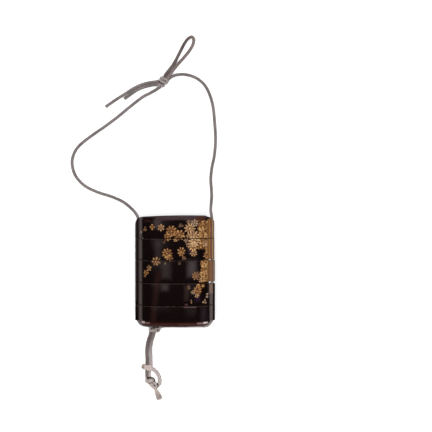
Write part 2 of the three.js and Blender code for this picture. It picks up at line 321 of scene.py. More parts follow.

# %% [markdown]
# ## Cord tubes
#
# A cord is a real length of soft tube, so it is swept along a smooth route. A curve object with a
# round bevel could do it, but it has no relief and no map of its own. So the given points
# are joined by the same kind of curve as in the CAD source and cut into even steps, and a ring of
# edges is extruded from step to step. It turns no more than the route turns, so the braid doesn't
# twist, and the braid's relief is real shape, cut into the radius of each ring.

# %% Even steps along a smooth route
STEP = 0.35


def smooth_route(points):
    """Points in mm, evenly spaced along a centripetal Catmull-Rom curve."""
    points = [Vector(point) for point in points]
    ends = [2 * points[0] - points[1]] + points + [2 * points[-1] - points[-2]]
    dense = []
    for a, b, c, d in zip(ends, ends[1:], ends[2:], ends[3:]):
        before, here, after = [math.sqrt((q - p).length) for p, q in ((a, b), (b, c), (c, d))]
        leave = ((b - a) / before - (c - a) / (before + here) + (c - b) / here) * here
        arrive = ((c - b) / here - (d - b) / (here + after) + (d - c) / after) * here
        count = max(4, round((c - b).length / STEP * 3))
        for i in range(count):
            t = i / count
            dense.append(
                b * (2 * t**3 - 3 * t**2 + 1)
                + leave * (t**3 - 2 * t**2 + t)
                + c * (3 * t**2 - 2 * t**3)
                + arrive * (t**3 - t**2)
            )
    dense.append(points[-1])
    lengths = [0.0]
    for p, q in zip(dense, dense[1:]):
        lengths.append(lengths[-1] + (q - p).length)
    count = max(2, round(lengths[-1] / STEP))
    even, i = [], 0
    for k in range(count + 1):
        goal = lengths[-1] * k / count
        while i < len(lengths) - 2 and lengths[i + 1] < goal:
            i += 1
        share = (goal - lengths[i]) / max(1e-9, lengths[i + 1] - lengths[i])
        even.append(dense[i].lerp(dense[i + 1], share))
    return even


def route_length(points):
    """The way along the points, in mm."""
    return sum((q - p).length for p, q in zip(points, points[1:]))


print("A route is cut every", STEP, "mm")

# %% Rings that follow one another
CORD_SIDES = 16
BRAID_RELIEF = 0.05


def braid_height(around, along):
    """The same crossing waves as in the shader, from -1 to 1."""
    across = math.tau * BRAID_BUNDLES * around
    run = math.tau * along / BRAID_PITCH
    return max(math.sin(across + run), math.sin(across - run))


def ring_edges(bm, ring):
    """The edges of a closed ring of vertices."""
    return [bm.edges.get((a, b)) for a, b in zip(ring, ring[1:] + ring[:1])]


def next_ring(bm, ring):
    """Extrude a closed ring of vertices and return the new one in the same order."""
    made = bmesh.ops.extrude_edge_only(bm, edges=ring_edges(bm, ring))["geom"]
    fresh = {v for v in made if isinstance(v, bmesh.types.BMVert)}
    return [next(e.other_vert(v) for e in v.link_edges if e.other_vert(v) in fresh) for v in ring]


print("A cord has", CORD_SIDES, "sides and its braid stands", BRAID_RELIEF, "of its radius proud")

# %% A tube swept along a route


def add_tube(bm, route, radius_at, sides=CORD_SIDES, relief=BRAID_RELIEF):
    """Sweep a closed tube along a route in mm. radius_at takes the share of the way along."""
    around_layer = bm.verts.layers.float.get("around") or bm.verts.layers.float.new("around")
    along_layer = bm.verts.layers.float.get("along") or bm.verts.layers.float.new("along")
    tangent = (route[1] - route[0]).normalized()
    normal = tangent.orthogonal().normalized()
    ring = list(bmesh.ops.create_circle(bm, cap_ends=True, segments=sides, radius=MM)["verts"])
    along = 0.0
    for i, centre in enumerate(route):
        after = route[min(i + 1, len(route) - 1)]
        before = route[max(i - 1, 0)]
        tangent = (after - before).normalized()
        normal = (normal - tangent * normal.dot(tangent)).normalized()
        side = tangent.cross(normal)
        if i:
            ring = next_ring(bm, ring)
            along += (centre - route[i - 1]).length
        for k, vert in enumerate(ring):
            angle = math.tau * k / sides
            radius = radius_at(i / (len(route) - 1))
            radius *= 1 + relief * braid_height(k / sides, along) - relief / 2
            out = normal * math.cos(angle) + side * math.sin(angle)
            vert.co = (centre + out * radius) * MM
            vert[around_layer] = k / sides
            vert[along_layer] = along
    bmesh.ops.contextual_create(bm, geom=ring_edges(bm, ring))


def close_tubes(bm):
    """Turn the faces of the tubes outwards and write the braid's UV map."""
    bmesh.ops.recalc_face_normals(bm, faces=bm.faces)
    around_layer = bm.verts.layers.float["around"]
    along_layer = bm.verts.layers.float["along"]
    uv_layer = bm.loops.layers.uv.new("braid")
    for face in bm.faces:
        turns = [loop.vert[around_layer] for loop in face.loops]
        crosses_start = max(turns) - min(turns) > 0.5
        for loop, turn in zip(face.loops, turns):
            wrapped = turn + 1 if crosses_start and turn < 0.5 else turn
            loop[uv_layer].uv = (wrapped, loop.vert[along_layer])


print("Each step of a cord adds", 2 * CORD_SIDES, "triangles")

# %% [markdown]
# ## The routes of the cord
#
# A limp cord could be dropped on the table by simulation, but the photograph shows how this one
# lies from end to end. So its routes are listed points, in millimetres, as in the CAD source.
# Each long side is one piece of cord: up from the knot under the base, through the tube on the
# side of the case, and round the big loop to the top knot.

# %% Routes of the two long sides
LYING = CORD_RADIUS + 0.05
AXIS_HEIGHT = 10.75
RUNNER_X = 27.2
MOUTH_BASE = -36.3
MOUTH_TOP = 37.72

LEFT_BASE = [
    (-17.3, -44.2, 2.4), (-18.4, -42.6, 2.4), (-20.2, -41.5, 2.8), (-22.6, -41.0, 4.2),
    (-24.7, -40.1, 6.2), (-26.0, -38.7, 8.4), (-26.8, -37.4, 9.9),
    (-RUNNER_X, MOUTH_BASE, AXIS_HEIGHT),
]
LEFT_ARC = [
    (-RUNNER_X, MOUTH_TOP, AXIS_HEIGHT), (-27.6, 39.7, 10.7), (-29.2, 42.6, 9.2),
    (-33.8, 47.2, 4.6), (-39.6, 51.5, 1.7), (-48.6, 55.5, LYING), (-58.6, 58.7, LYING),
    (-68.5, 63.7, LYING), (-75.4, 71.4, LYING), (-77.8, 81.2, LYING), (-75.8, 88.9, LYING),
    (-71.9, 94.1, LYING), (-63.1, 101.1, LYING), (-53.3, 107.9, LYING), (-44.2, 114.7, LYING),
    (-33.7, 123.3, LYING), (-24.4, 130.4, LYING), (-18.6, 133.4, 1.2), (-13.4, 136.4, 1.7),
    (-11.2, 138, 2.2),
]
RIGHT_BASE = [
    (-13.4, -44.4, 2), (-12.0, -43.0, 1.5), (-9.0, -42.1, LYING), (-4, -41.9, LYING),
    (4, -41.9, LYING), (12, -41.9, LYING), (18, -41.7, 2), (21.8, -41.4, 4.5),
    (24.4, -40.4, 7.2), (25.9, -38.8, 9.2), (26.8, -37.4, 10.1),
    (RUNNER_X, MOUTH_BASE, AXIS_HEIGHT),
]
RIGHT_ARC = [
    (RUNNER_X, MOUTH_TOP, AXIS_HEIGHT), (27.1, 40.6, 10.7), (26.5, 44.6, 9.9), (26.7, 49.4, 6.4),
    (27.1, 55.4, 2.3), (26.8, 62, LYING), (26.4, 68.4, LYING), (27.3, 77.2, LYING),
    (29.1, 86.1, LYING), (30, 97.9, LYING), (29.3, 111.7, LYING), (28, 123.5, LYING),
    (25.5, 132.2, LYING), (22, 138.9, LYING), (17.2, 143.4, LYING), (11.3, 146.2, LYING),
    (5.5, 147.2, LYING), (0, 146.6, LYING), (-4.1, 144.7, LYING), (-7, 141.6, 1.4),
]
print("Hand-chosen points:", [len(r) for r in (LEFT_BASE, LEFT_ARC, RIGHT_BASE, RIGHT_ARC)])

# %% Routes at the two ends
LOOP = [
    (-8.7, 143.7, 3.6), (-6.9, 147.1, 3.4), (-4.3, 150.6, 2.6), (-1.8, 154.1, 1.6),
    (1.3, 160, LYING), (4, 165.4, LYING), (6.8, 170.6, LYING), (9.4, 174, LYING),
    (12, 175.4, LYING), (13.6, 173.8, LYING), (13, 169.6, LYING), (10.1, 164.6, LYING),
    (6, 159.6, LYING), (1.5, 154.5, 1.6), (-1.9, 150.2, 2.6), (-4.7, 145.8, 3.4),
    (-6.6, 142.4, 3.6),
]
TAIL_LONG = [
    (-10.8, 142.3, 2.4), (-14.6, 141.7, 1.5), (-19.2, 141.1, LYING), (-25.2, 139.6, LYING),
    (-31.2, 136.9, LYING), (-37.2, 133, LYING), (-44.7, 128.3, LYING), (-52.6, 122.8, LYING),
]
TAIL_SHORT = [
    (-10.8, 140.1, 2.4), (-14.6, 139.6, 1.5), (-19.2, 138.9, LYING), (-25, 137.3, LYING),
    (-30.3, 134.7, LYING), (-34.8, 131.6, LYING), (-38.6, 128.8, LYING),
]
LEFT_STRAND = [
    (-18.4, -45.4, 1.6), (-18.9, -48.4, LYING), (-20.0, -51.4, LYING), (-21.1, -55.6, LYING),
    (-21.6, -61.3, LYING), (-21.3, -67.3, LYING), (-21.4, -72, 1.6), (-21.4, -74.2, 1.5),
    (-21.5, -78.6, 1.5), (-21.0, -83, 1.5),
]
RIGHT_STRAND = [
    (-15.8, -45.4, 1.6), (-16.6, -48.6, LYING), (-17.9, -52.8, LYING), (-18.8, -58.6, LYING),
    (-18.6, -65.3, LYING), (-18.5, -72, 1.6), (-18.9, -73.4, 1.5), (-16.3, -74.7, LYING),
    (-13.6, -77.4, LYING), (-11.9, -81.9, LYING), (-12.5, -85.8, LYING), (-15.6, -87, 1.5),
]
print("Hand-chosen points:",
      [len(r) for r in (LOOP, TAIL_LONG, TAIL_SHORT, LEFT_STRAND, RIGHT_STRAND)])

# %% [markdown]
# An old cord isn't equally thick all the way: it is drawn in at its cut ends, and looser where it
# has been bent often. Every ring could be scaled by hand, but here the radius is a function of
# the share of the way along, so that each cord has its own fullness with the same sweep.

# %% Sweep the cords
# A cut end has this share of the cord's thickness, and loosening takes that share of its way.
CUT_END = 0.8
LOOSENING = 0.02


def clamped(value):
    """A share held between 0 and 1."""
    return min(1.0, max(0.0, value))


def fullness(base=1.0, start=0.0, end=0.0, extra=0.0):
    """A cord's radius by share of its way: base all along, and extra more from start to end."""
    def radius(share):
        if share in (0, 1):
            return CORD_RADIUS * base * CUT_END
        rise = clamped(min(share - start, end - share) / LOOSENING)
        return CORD_RADIUS * (base + extra * rise)
    return radius


def make_cord(name, points, material, radius_at):
    """A braided cord along a route, with the centreline that it follows in metres."""
    bm = bmesh.new()
    route = smooth_route(points)
    add_tube(bm, route, radius_at)
    close_tubes(bm)
    piece = finish_piece(name, bm, material)
    print(name, "is", round(route_length(route), 1), "mm long")
    return piece, [point * MM for point in route], route_length(route) * MM


CORDS = {
    "cord_left": (LEFT_BASE + LEFT_ARC, silk, fullness(1.0, start=0.03, end=0.075, extra=0.12)),
    "cord_right": (RIGHT_BASE + RIGHT_ARC, base_silk_painted_light,
                   fullness(1.0, start=0.13, end=0.17, extra=0.12)),
    "loop": (LOOP, loop_silk, fullness(1.03, start=-0.1, end=0.22, extra=0.15)),
    "tail_long": (TAIL_LONG, silk, fullness()),
    "tail_short": (TAIL_SHORT, silk, fullness(1.1)),
    "strand_left": (LEFT_STRAND, left_strand_silk, fullness(1.18)),
    "strand_right": (RIGHT_STRAND, right_strand_silk,
                     fullness(1.13, start=0.62, end=1.1, extra=0.17)),
}
cords = {name: make_cord(name, *facts) for name, facts in CORDS.items()}

# %% [markdown]
# ## Knots
#
# A knot is the same cord, wound round the strands that it holds. A lump with a braid on it would
# be quicker, but its folds would be missing. So each wrap is an oval helix, flattened by the
# table, and short stretches of cord fill the knot from end to end. Thin dark strands lie in its
# folds as painted shade, where little light gets in. All of it stays within the plain CAD
# solids that the knots replace.

# %% Wraps of cord
WRAP_POINTS = 24


def wrap(centre, turn, half_across, half_high, half_long, turns, start):
    """An oval helix in mm, with its half sizes. Its axis lies flat, turned by `turn` from X.

    It makes so many turns, and starts at that share of a turn.
    """
    axis = Vector((math.cos(turn), math.sin(turn), 0))
    across = Vector((-math.sin(turn), math.cos(turn), 0))
    points = []
    for i in range(round(WRAP_POINTS * turns) + 1):
        share = i / (WRAP_POINTS * turns)
        angle = math.tau * (turns * share + start)
        points.append(
            Vector(centre)
            + axis * half_long * (2 * share - 1)
            + across * half_across * math.cos(angle)
            + Vector((0, 0, half_high * math.sin(angle)))
        )
    return points


def make_knot(name, node, routes, shadows, material, radius, shadow_radius=0.5):
    """One piece for a CAD knot: wraps and strands, and thin dark ones of painted shade in its
    folds.
    """
    bm = bmesh.new()
    for points in routes:
        add_tube(bm, smooth_route(points), lambda share: radius)
    pale_faces = set(bm.faces)
    for points in shadows:
        add_tube(bm, smooth_route(points), lambda share: shadow_radius)
    for face in bm.faces:
        face.material_index = 0 if face in pale_faces else 1
    close_tubes(bm)
    piece = finish_piece(name, bm, material)
    piece.data.materials.append(painted_shade_silk)
    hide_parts(node)
    return piece


pale_silk = make_silk("pale_silk", (0.22, 0.18, 0.17, 1), (0.52, 0.445, 0.42, 1),
                      (0.33, 0.275, 0.26, 1))
pink_silk = make_silk("pink_silk", (0.36, 0.285, 0.27, 1), (0.68, 0.57, 0.54, 1),
                      (0.50, 0.41, 0.385, 1))
# Nearly black silk for the thin strands in the knots' folds, which are painted shade.
painted_shade_silk = make_silk("painted_shade_silk", (0.02, 0.014, 0.012, 1), (0.06, 0.045, 0.04, 1),
                      (0.03, 0.02, 0.018, 1))
knot_silk = make_silk("knot_silk", (0.15, 0.125, 0.122, 1), (0.40, 0.355, 0.35, 1),
                      (0.24, 0.20, 0.195, 1))

# %% Knots above the lid and under the base
TOP_KNOT_TURN = 0.98
TOP_KNOT = (-9.7, 141.7, 2.75)

knot_top = make_knot("top_knot", "knot_top", [
    wrap(TOP_KNOT, TOP_KNOT_TURN, 2.2, 1.45, 2.9, 2.25, 0.3),
    [(-12.8, 137.8, 2.2), (-11.2, 139.8, 2.4), (-8.8, 143.0, 2.8), (-6.9, 145.6, 2.8)],
    [(-7.6, 140.2, 2.0), (-6.5, 141.6, 2.3), (-6.0, 143.2, 2.4), (-6.5, 145.2, 2.6)],
], [
    [(-12.9, 141.9, 3.6), (-11.6, 141.0, 4.7), (-10.2, 139.9, 4.7), (-8.9, 138.9, 3.6)],
    [(-10.9, 144.6, 3.6), (-9.6, 143.7, 4.7), (-8.2, 142.7, 4.7), (-6.9, 141.7, 3.6)],
], knot_silk, radius=1.25)
knot_base = make_knot("base_knot", "knot_base", [
    wrap((-17.7, -44.7, 2.1), math.radians(82), 1.75, 0.95, 0.9, 1.6, 0.1),
    [(-15.6, -43.9, 2.6), (-14.0, -43.4, 1.9), (-12.6, -43.9, 1.4), (-12.3, -45.2, 1.2),
     (-13.4, -46.0, 1.4), (-14.6, -45.3, 2.0), (-15.0, -44.3, 2.5)],
], [
    [(-19.0, -42.2, 2.3), (-16.8, -42.5, 2.7), (-14.6, -42.4, 2.6), (-12.2, -42.4, 2.3)],
    [(-18.8, -42.9, 2.0), (-16.8, -43.2, 2.3), (-14.6, -43.1, 2.2), (-12.6, -43.1, 1.9)],
    [(-18.7, -43.9, 3.0), (-17.8, -44.0, 3.3), (-16.9, -44.2, 3.0)],
    [(-13.9, -44.5, 1.9), (-13.4, -44.8, 1.9), (-13.0, -45.1, 1.9)],
], pale_silk, radius=0.8, shadow_radius=0.6)

# %% Knots of the tail
knot_tail_upper = make_knot("tail_knot_upper", "knot_tail_upper", [
    wrap((-20.5, -72.9, 2.2), math.radians(84), 2.45, 1.15, 1.35, 2.25, 0.2),
], [], pink_silk, radius=1.05)
knot_tail_lower = make_knot("tail_knot_lower", "knot_tail_lower", [
    wrap((-19.4, -82.5, 2.1), math.radians(88), 2.5, 1.0, 0.9, 1.6, 0.1),
    [(-20.6, -83.8, 1.4), (-19.0, -85.6, 1.7), (-17.2, -87.4, 1.7), (-15.6, -88.9, 1.5)],
    [(-18.4, -84.4, 1.5), (-17.2, -85.8, 1.7), (-15.9, -87.2, 1.7), (-15.0, -88.4, 1.5)],
    [(-17.2, -83.6, 2.0), (-15.4, -84.7, 2.3), (-14.2, -86.1, 2.1), (-14.3, -87.6, 1.7),
     (-15.3, -88.5, 1.5)],
    [(-19.4, -74.4, 1.5), (-19.5, -77.0, 1.5), (-19.5, -79.4, 1.5), (-19.3, -81.8, 1.8)],
    [(-21.7, -80.8, 1.8), (-21.9, -82.5, 2.3), (-21.6, -84.2, 1.8)],
], [
    [(-21.4, -80.9, 2.6), (-20.0, -80.5, 2.7), (-18.4, -80.4, 2.7), (-16.8, -80.9, 2.6),
     (-15.9, -82.0, 2.4), (-15.7, -83.4, 2.3)],
    [(-20.5, -81.2, 3.3), (-20.4, -82.6, 3.4), (-20.5, -84.0, 3.0)],
    [(-20.2, -84.3, 2.6), (-18.8, -84.1, 2.9), (-17.4, -83.8, 2.9), (-16.4, -83.2, 2.6)],
    [(-16.4, -85.9, 2.5), (-15.8, -86.4, 2.5), (-15.3, -86.9, 2.5)],
    [(-14.0, -84.9, 2.5), (-13.2, -85.9, 2.4), (-13.2, -87.0, 2.2), (-13.9, -87.9, 1.9)],
], pale_silk, radius=0.95, shadow_radius=0.55)

# %% [markdown]
# ## Tuft and frayed end
#
# Below the last knot the cord is combed out into a brush, and one cut end has frayed beside the
# upper knot. Loose silk is hundreds of fine hairs. A particle system could grow them, but an
# exported model needs a mesh. So each hair is a thin tapered tube of few faces, bent a little to
# its own side, and the random numbers are seeded so that every run is the same. The three points
# of a hair are millimetres on the table, from its root to its tip.

# %% Loose hairs
HAIR_SIDES = 4
HAIR_TAPER = 0.7


def make_hairs(name, node, count, seed, line_of, material, radius):
    """Many bent hairs in one piece. line_of gives the three points of one hair."""
    random.seed(seed)
    bm = bmesh.new()
    for _ in range(count):
        root, middle, tip = [Vector(point) for point in line_of()]
        route = [root, (root + middle) / 2, middle, (middle + tip) / 2, tip]
        add_tube(bm, route, lambda share: radius * (1 - HAIR_TAPER * share), HAIR_SIDES, 0.0)
    close_tubes(bm)
    piece = finish_piece(name, bm, material)
    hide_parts(node)
    return piece


print("A hair has", HAIR_SIDES, "sides")

# %% The brush and the frayed end


def tuft_hair():
    """A hair of the brush: from the tight neck out to the wide, flat end."""
    start, run = Vector((-15.3, -88.8, 0)), Vector((3.7, -8.4, 0))
    across = Vector((0.92, 0.40, 0))
    turn, reach = random.uniform(0, math.tau), math.sqrt(random.random())
    side, lift = reach * math.cos(turn), reach * math.sin(turn)
    length = random.uniform(0.82, 1.0)
    root = start + across * side * 0.75 + Vector((0, 0, 1.4 + 0.75 * lift))
    middle = start + run * 0.5 * length + across * side * 1.8 + Vector((0, 0, 1.5 + 1.1 * lift))
    tip = start + run * length + across * side * 2.5 + Vector((0, 0, 1.35 + 0.9 * lift))
    return root, middle, tip


def frayed_hair():
    """A hair of the frayed end, which points to the left and up the table."""
    turn = random.uniform(-0.9, 0.9)
    lift = random.uniform(-0.9, 0.9)
    length = random.uniform(2.4, 3.8)
    root = Vector((-22.4, -72.7 + 1.1 * turn, 1.5 + 0.6 * lift))
    tip = root + Vector((-length * math.cos(turn), 1.3 * math.sin(turn) + 0.4, 0.35 * lift))
    middle = (root + tip) / 2 + Vector((0, 0.4 * turn, 0.3 * lift))
    return root, middle, tip


tuft_silk = make_silk("tuft_silk", (0.42, 0.335, 0.31, 1), (0.56, 0.465, 0.43, 1),
                      (0.46, 0.375, 0.345, 1))
cream_silk = make_silk("cream_silk", (0.55, 0.46, 0.38, 1), (0.74, 0.65, 0.55, 1),
                       (0.34, 0.25, 0.18, 1))
tuft = make_hairs("tuft_hairs", "tuft", count=190, seed=3, line_of=tuft_hair,
                  material=tuft_silk, radius=0.2)
frayed_end = make_hairs("frayed_hairs", "frayed_end", count=130, seed=5, line_of=frayed_hair,
                        material=cream_silk, radius=0.16)

# %% [markdown]
# ## What each cord is
#
# The cords could be plain pieces like the rest, but a limp cord can be laid anew where a rigid
# piece can't. So each free cord is listed: where it leaves the object, what is on its far end,
# the other pieces that go with it, and the CAD tubes it stands for, which are hidden.

MOUTH_LEFT = Vector((-RUNNER_X, MOUTH_BASE, AXIS_HEIGHT)) * MM
AT_TOP_KNOT = Vector(TOP_KNOT) * MM
AT_BASE_KNOT = Vector((-16.9, -44.6, 2.0)) * MM

CORD_FACTS = {
    "cord_left": (MOUTH_LEFT, "knot", [knot_top, knot_base],
                  ["cord_left_arc", "cord_left_held", "cord_left_base"]),
    "cord_right": (AT_BASE_KNOT, "knot", [],
                   ["cord_right_arc", "cord_right_held", "cord_right_base"]),
    "loop": (AT_TOP_KNOT, "knot", [], ["cord_loop"]),
    "tail_long": (AT_TOP_KNOT, "bare", [], ["cord_tail_long"]),
    "tail_short": (AT_TOP_KNOT, "bare", [], ["cord_tail_short"]),
    "strand_left": (AT_BASE_KNOT, "knot", [knot_tail_upper, knot_tail_lower, frayed_end, tuft],
                    ["cord_left_strand", "cord_left_tail"]),
    "strand_right": (AT_BASE_KNOT, "knot", [], ["cord_right_strand", "cord_right_tail"]),
}
for name, (leaves, far_end, others, nodes) in CORD_FACTS.items():
    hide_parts(*nodes)
print("Declared", len(CORD_FACTS), "cords")

# %% [markdown]
# ## Lacquer and the gold picture
#
# The case is black-brown lacquer with a picture in sprinkled gold: sprays of blossom that grow
# denser towards the right side. A painted image could carry the picture, but as it is colour
# only, the shader can paint it, and then it is sharp from near. A group draws one blossom from
# its centre, size and petals, and a list places each one. One shader holds only so many
# nodes, so each tier gets its own lacquer, with the part of the picture that reaches into it.

# %% Where the tiers meet
# Heights run along the case from its middle, and each tier is given as (top, bottom).
TOP = 41.3
SEAM = 0.3
TIER_HEIGHTS = {"lid": 16.9, "case_1": 15.9, "case_2": 16.8, "case_3": 16.7, "case_4": 16.3}

TIERS = {}
tier_top = TOP
for tier, tier_height in TIER_HEIGHTS.items():
    TIERS[tier] = (tier_top, tier_top - tier_height)
    tier_top -= tier_height
print("The tiers meet at", [round(bottom, 1) for _, bottom in TIERS.values()])

# %% One painted blossom
PETAL_ROOT = 0.42
HEART_RING = 0.28


def make_blossom_group():
    """One blossom: where it is gold, and how bright its petals, ring and veins are."""
    inputs = [("Place", "Vector"), ("Centre", "Vector"), ("Radius", "Float"),
              ("Petals", "Float"), ("Turn", "Float"), ("Slim", "Float")]
    group, start, end = start_group("blossom", inputs, [("Mask", "Float"), ("Tone", "Float")])
    offset = vectors(group, "SUBTRACT", start.outputs["Place"], start.outputs["Centre"])
    x = vectors(group, "DOT_PRODUCT", offset, (1, 0, 0))
    x = maths(group, "DIVIDE", x, start.outputs["Slim"])
    y = vectors(group, "DOT_PRODUCT", offset, (0, 1, 0))
    square = plus(group, times(group, x, x), times(group, y, y))
    distance = maths(group, "DIVIDE", maths(group, "SQRT", square), start.outputs["Radius"])
    half_petals = maths(group, "DIVIDE", start.outputs["Petals"], 2.0)
    swing = times(group, maths(group, "ARCTAN2", y, x), half_petals)
    swing = plus(group, swing, start.outputs["Turn"])
    petal = size_of(group, maths(group, "COSINE", swing))
    edge = plus(group, PETAL_ROOT, times(group, petal, 1 - PETAL_ROOT))
    inside = spread(group, minus(group, edge, distance), -0.06, 0.12)
    shadow = spread(group, distance, 0.98, 0.7, 0.0, 0.85)
    from_ring = size_of(group, minus(group, distance, HEART_RING))
    ring = spread(group, from_ring, 0.0, 0.16, 0.35, 1.0)
    veins = spread(group, petal, 0.3, 0.85, 0.08, 1.0)
    veins = larger(group, veins, spread(group, distance, 0.22, 0.12))
    group.links.new(larger(group, inside, shadow), end.inputs["Mask"])
    group.links.new(times(group, times(group, inside, ring), veins), end.inputs["Tone"])
    return group


blossom_group = make_blossom_group()
print("Blossom group has", len(blossom_group.nodes), "nodes")

# %% A soft-edged panel


def make_panel_group():
    """A soft-edged panel, upright or leaning."""
    inputs = [("Place", "Vector"), ("Centre", "Vector"), ("Half X", "Float"),
              ("Half Y", "Float"), ("Soft", "Float"), ("Lean", "Float")]
    group, start, end = start_group("panel", inputs, [("Mask", "Float")])
    offset = vectors(group, "SUBTRACT", start.outputs["Place"], start.outputs["Centre"])
    y = vectors(group, "DOT_PRODUCT", offset, (0, 1, 0))
    x = vectors(group, "DOT_PRODUCT", offset, (1, 0, 0))
    x = minus(group, x, times(group, y, start.outputs["Lean"]))
    past_x = minus(group, size_of(group, x), start.outputs["Half X"])
    past_y = minus(group, size_of(group, y), start.outputs["Half Y"])
    soft = start.outputs["Soft"]
    mask = spread(group, larger(group, past_x, past_y), soft, times(group, soft, -1.0))
    group.links.new(mask, end.inputs["Mask"])
    return group


panel_group = make_panel_group()
print("Panel group has", len(panel_group.nodes), "nodes")

# %% [markdown]
# Blossoms could be scattered by chance, but this picture has its own rhythm, so it is listed:
# where each blossom's centre is on the front in millimetres, its radius, its number of petals,
# how far it is turned, how slim it is, how bright its gold is and how silvery it has worn. Where
# blossoms are packed, a soft-edged gold field carries them. A field or a bare hole in one has its
# centre, its half width and height, and the softness of its edge.

# %% Where the blossoms are
BLOSSOMS = [
    (-21.8, 31.2, 2.1, 3, 0.3, 0.65, 0.42, 0.2), (-16.4, 32.7, 2.5, 4, 0.0, 0.8, 0.62, 0.0),
    (-9.9, 32.2, 2.9, 6, 0.5, 0.95, 0.7, 0.2), (-2.3, 29.7, 4.4, 9, 0.2, 1.0, 0.54, 0.0),
    (-5.0, 25.5, 3.3, 8, 0.8, 0.9, 0.6, 0.0), (3.3, 26.8, 4.2, 9, 0.4, 1.15, 0.65, 0.0),
    (0.6, 23.1, 1.4, 4, 0.3, 1.2, 0.6, 0.2), (4.7, 33.8, 1.6, 3, 0.1, 1.3, 0.2, 0.6),
    (11.2, 31.7, 4.4, 10, 0.1, 1.0, 0.9, 0.17), (14.2, 26.6, 4.0, 9, 0.7, 1.0, 0.9, 0.2),
    (14.6, 22.0, 4.5, 10, 0.3, 1.0, 1.0, 0.2), (13.7, 18.4, 3.9, 9, 0.5, 0.95, 0.9, 0.1),
    (5.0, 14.6, 3.7, 8, 0.6, 0.85, 0.7, 0.1), (6.9, 9.9, 1.6, 5, 0.2, 1.0, 0.4, 0.2),
    (-5.4, 13.4, 4.1, 9, 0.9, 1.0, 0.62, 0.0), (-3.9, 10.2, 2.7, 6, 0.3, 1.15, 0.58, 0.0),
    (-13.5, 7.6, 3.5, 7, 0.4, 1.0, 0.64, 0.16), (-18.7, 2.6, 2.4, 5, 0.7, 0.85, 0.55, 0.2),
    (-20.9, -0.6, 2.0, 5, 0.2, 1.1, 0.62, 0.1), (-21.9, -3.2, 1.2, 4, 0.5, 0.8, 0.55, 0.2),
    (-7.7, 21.6, 1.2, 5, 0.0, 1.0, 0.12, 0.5), (-6.8, 6.1, 1.0, 4, 0.4, 1.0, 0.3, 0.8),
    (3.7, 6.1, 1.1, 4, 0.4, 1.0, 0.15, 0.7), (22.2, 6.0, 3.2, 9, 0.3, 1.0, 0.74, 0.1),
    (22.2, 1.3, 3.2, 9, 0.6, 1.0, 0.72, 0.1), (22.2, -2.6, 3.8, 10, 0.1, 1.0, 0.76, 0.1),
    (15.7, -3.0, 3.3, 8, 0.5, 1.0, 0.5, 0.2), (19.2, -6.3, 1.8, 6, 0.2, 1.0, 0.75, 0.2),
    (16.6, -14.2, 3.9, 10, 0.2, 0.85, 0.65, 0.1), (18.8, -11.0, 2.6, 3, 0.85, 1.4, 0.7, 0.1),
    (13.7, -15.1, 1.7, 7, 0.6, 1.0, 0.7, 0.4), (10.4, -11.6, 1.9, 5, 0.3, 0.7, 0.25, 0.5),
    (16.5, -17.6, 1.7, 5, 0.1, 1.1, 0.8, 0.3), (23.9, -17.8, 1.9, 2, 0.5, 0.85, 0.7, 1.0),
    (22.0, -22.2, 1.9, 3, 0.4, 0.9, 0.5, 0.7), (12.3, -21.9, 1.6, 2, 0.5, 0.65, 0.35, 0.5),
    (20.4, 27.3, 3.2, 9, 0.3, 1.0, 0.75, 0.1), (22.4, 20.4, 2.8, 7, 0.6, 1.0, 0.7, 0.2),
    (23.6, 12.0, 3.1, 7, 0.1, 0.9, 0.76, 0.1), (19.6, 33.6, 2.6, 6, 0.7, 1.1, 0.5, 0.1),
    (14.8, 35.6, 3.0, 7, 0.2, 1.0, 0.62, 0.6), (10.4, 36.6, 1.7, 5, 0.5, 1.0, 0.32, 0.7),
    (8.6, 23.2, 2.1, 5, 0.3, 1.0, 0.5, 0.6), (10.6, 26.0, 2.3, 6, 0.2, 1.0, 0.6, 0.2),
    (10.2, 19.4, 2.1, 6, 0.5, 1.0, 0.5, 0.3), (14.0, 13.4, 2.6, 7, 0.4, 1.1, 0.72, 0.2),
]
GOLD_FIELDS = [
    ((22.0, 28.0), (4.6, 9.6), 1.0), ((21.4, 19.0), (4.2, 2.4), 0.9),
    ((24.4, 12.6), (1.9, 6.5), 0.8), ((22.6, 0.2), (3.4, 8.2), 0.9),
    ((23.4, 36.2), (2.6, 1.6), 0.7),
]
HOLES = [((19.2, 12.6), (1.9, 3.2), 0.8), ((19.0, 38.3), (1.8, 0.9), 0.6)]
print(len(BLOSSOMS), "blossoms,", len(GOLD_FIELDS), "gold fields")

# %% Brushes for the picture
FIELD_SHAKE = 1.8
GROUND_SHAKE = 0.6


def place_group(tree, group, place, **values):
    """Add a node group to a tree, fed with a place and plain values."""
    node = tree.nodes.new("ShaderNodeGroup")
    node.node_tree = group
    feed(tree, node.inputs["Place"], place)
    for title, value in values.items():
        node.inputs[title].default_value = value
    return node.outputs


def panel_mask(tree, place, centre, half, soft, lean=0.0):
    """How far a place is inside a soft-edged panel on the front."""
    values = {"Centre": (*centre, 0), "Half X": half[0], "Half Y": half[1], "Soft": soft,
              "Lean": lean}
    return place_group(tree, panel_group, place, **values)["Mask"]


def shaken(tree, place, scale, reach):
    """The place, moved about by noise by up to a reach in mm, so that edges are uneven."""
    node = tree.nodes.new("ShaderNodeVectorMath")
    node.operation = "SCALE"
    node.inputs[0].default_value = (1, 1, 1)
    shift = times(tree, minus(tree, noise(tree, place, scale, 1.0), 0.5), 2 * reach)
    feed(tree, node.inputs["Scale"], shift)
    return vectors(tree, "ADD", place, node.outputs[0])


def crosses(y, half, soft, tier):
    """Whether something at a height reaches into a tier, given as (top, bottom)."""
    top, bottom = tier
    return y - half - soft < top and y + half + soft > bottom


print("Edges of the gold fields wander by up to", FIELD_SHAKE, "mm")

# %% Paint the blossoms
SILVER_FROM = 0.15
BLOSSOM_SOFT = 0.4


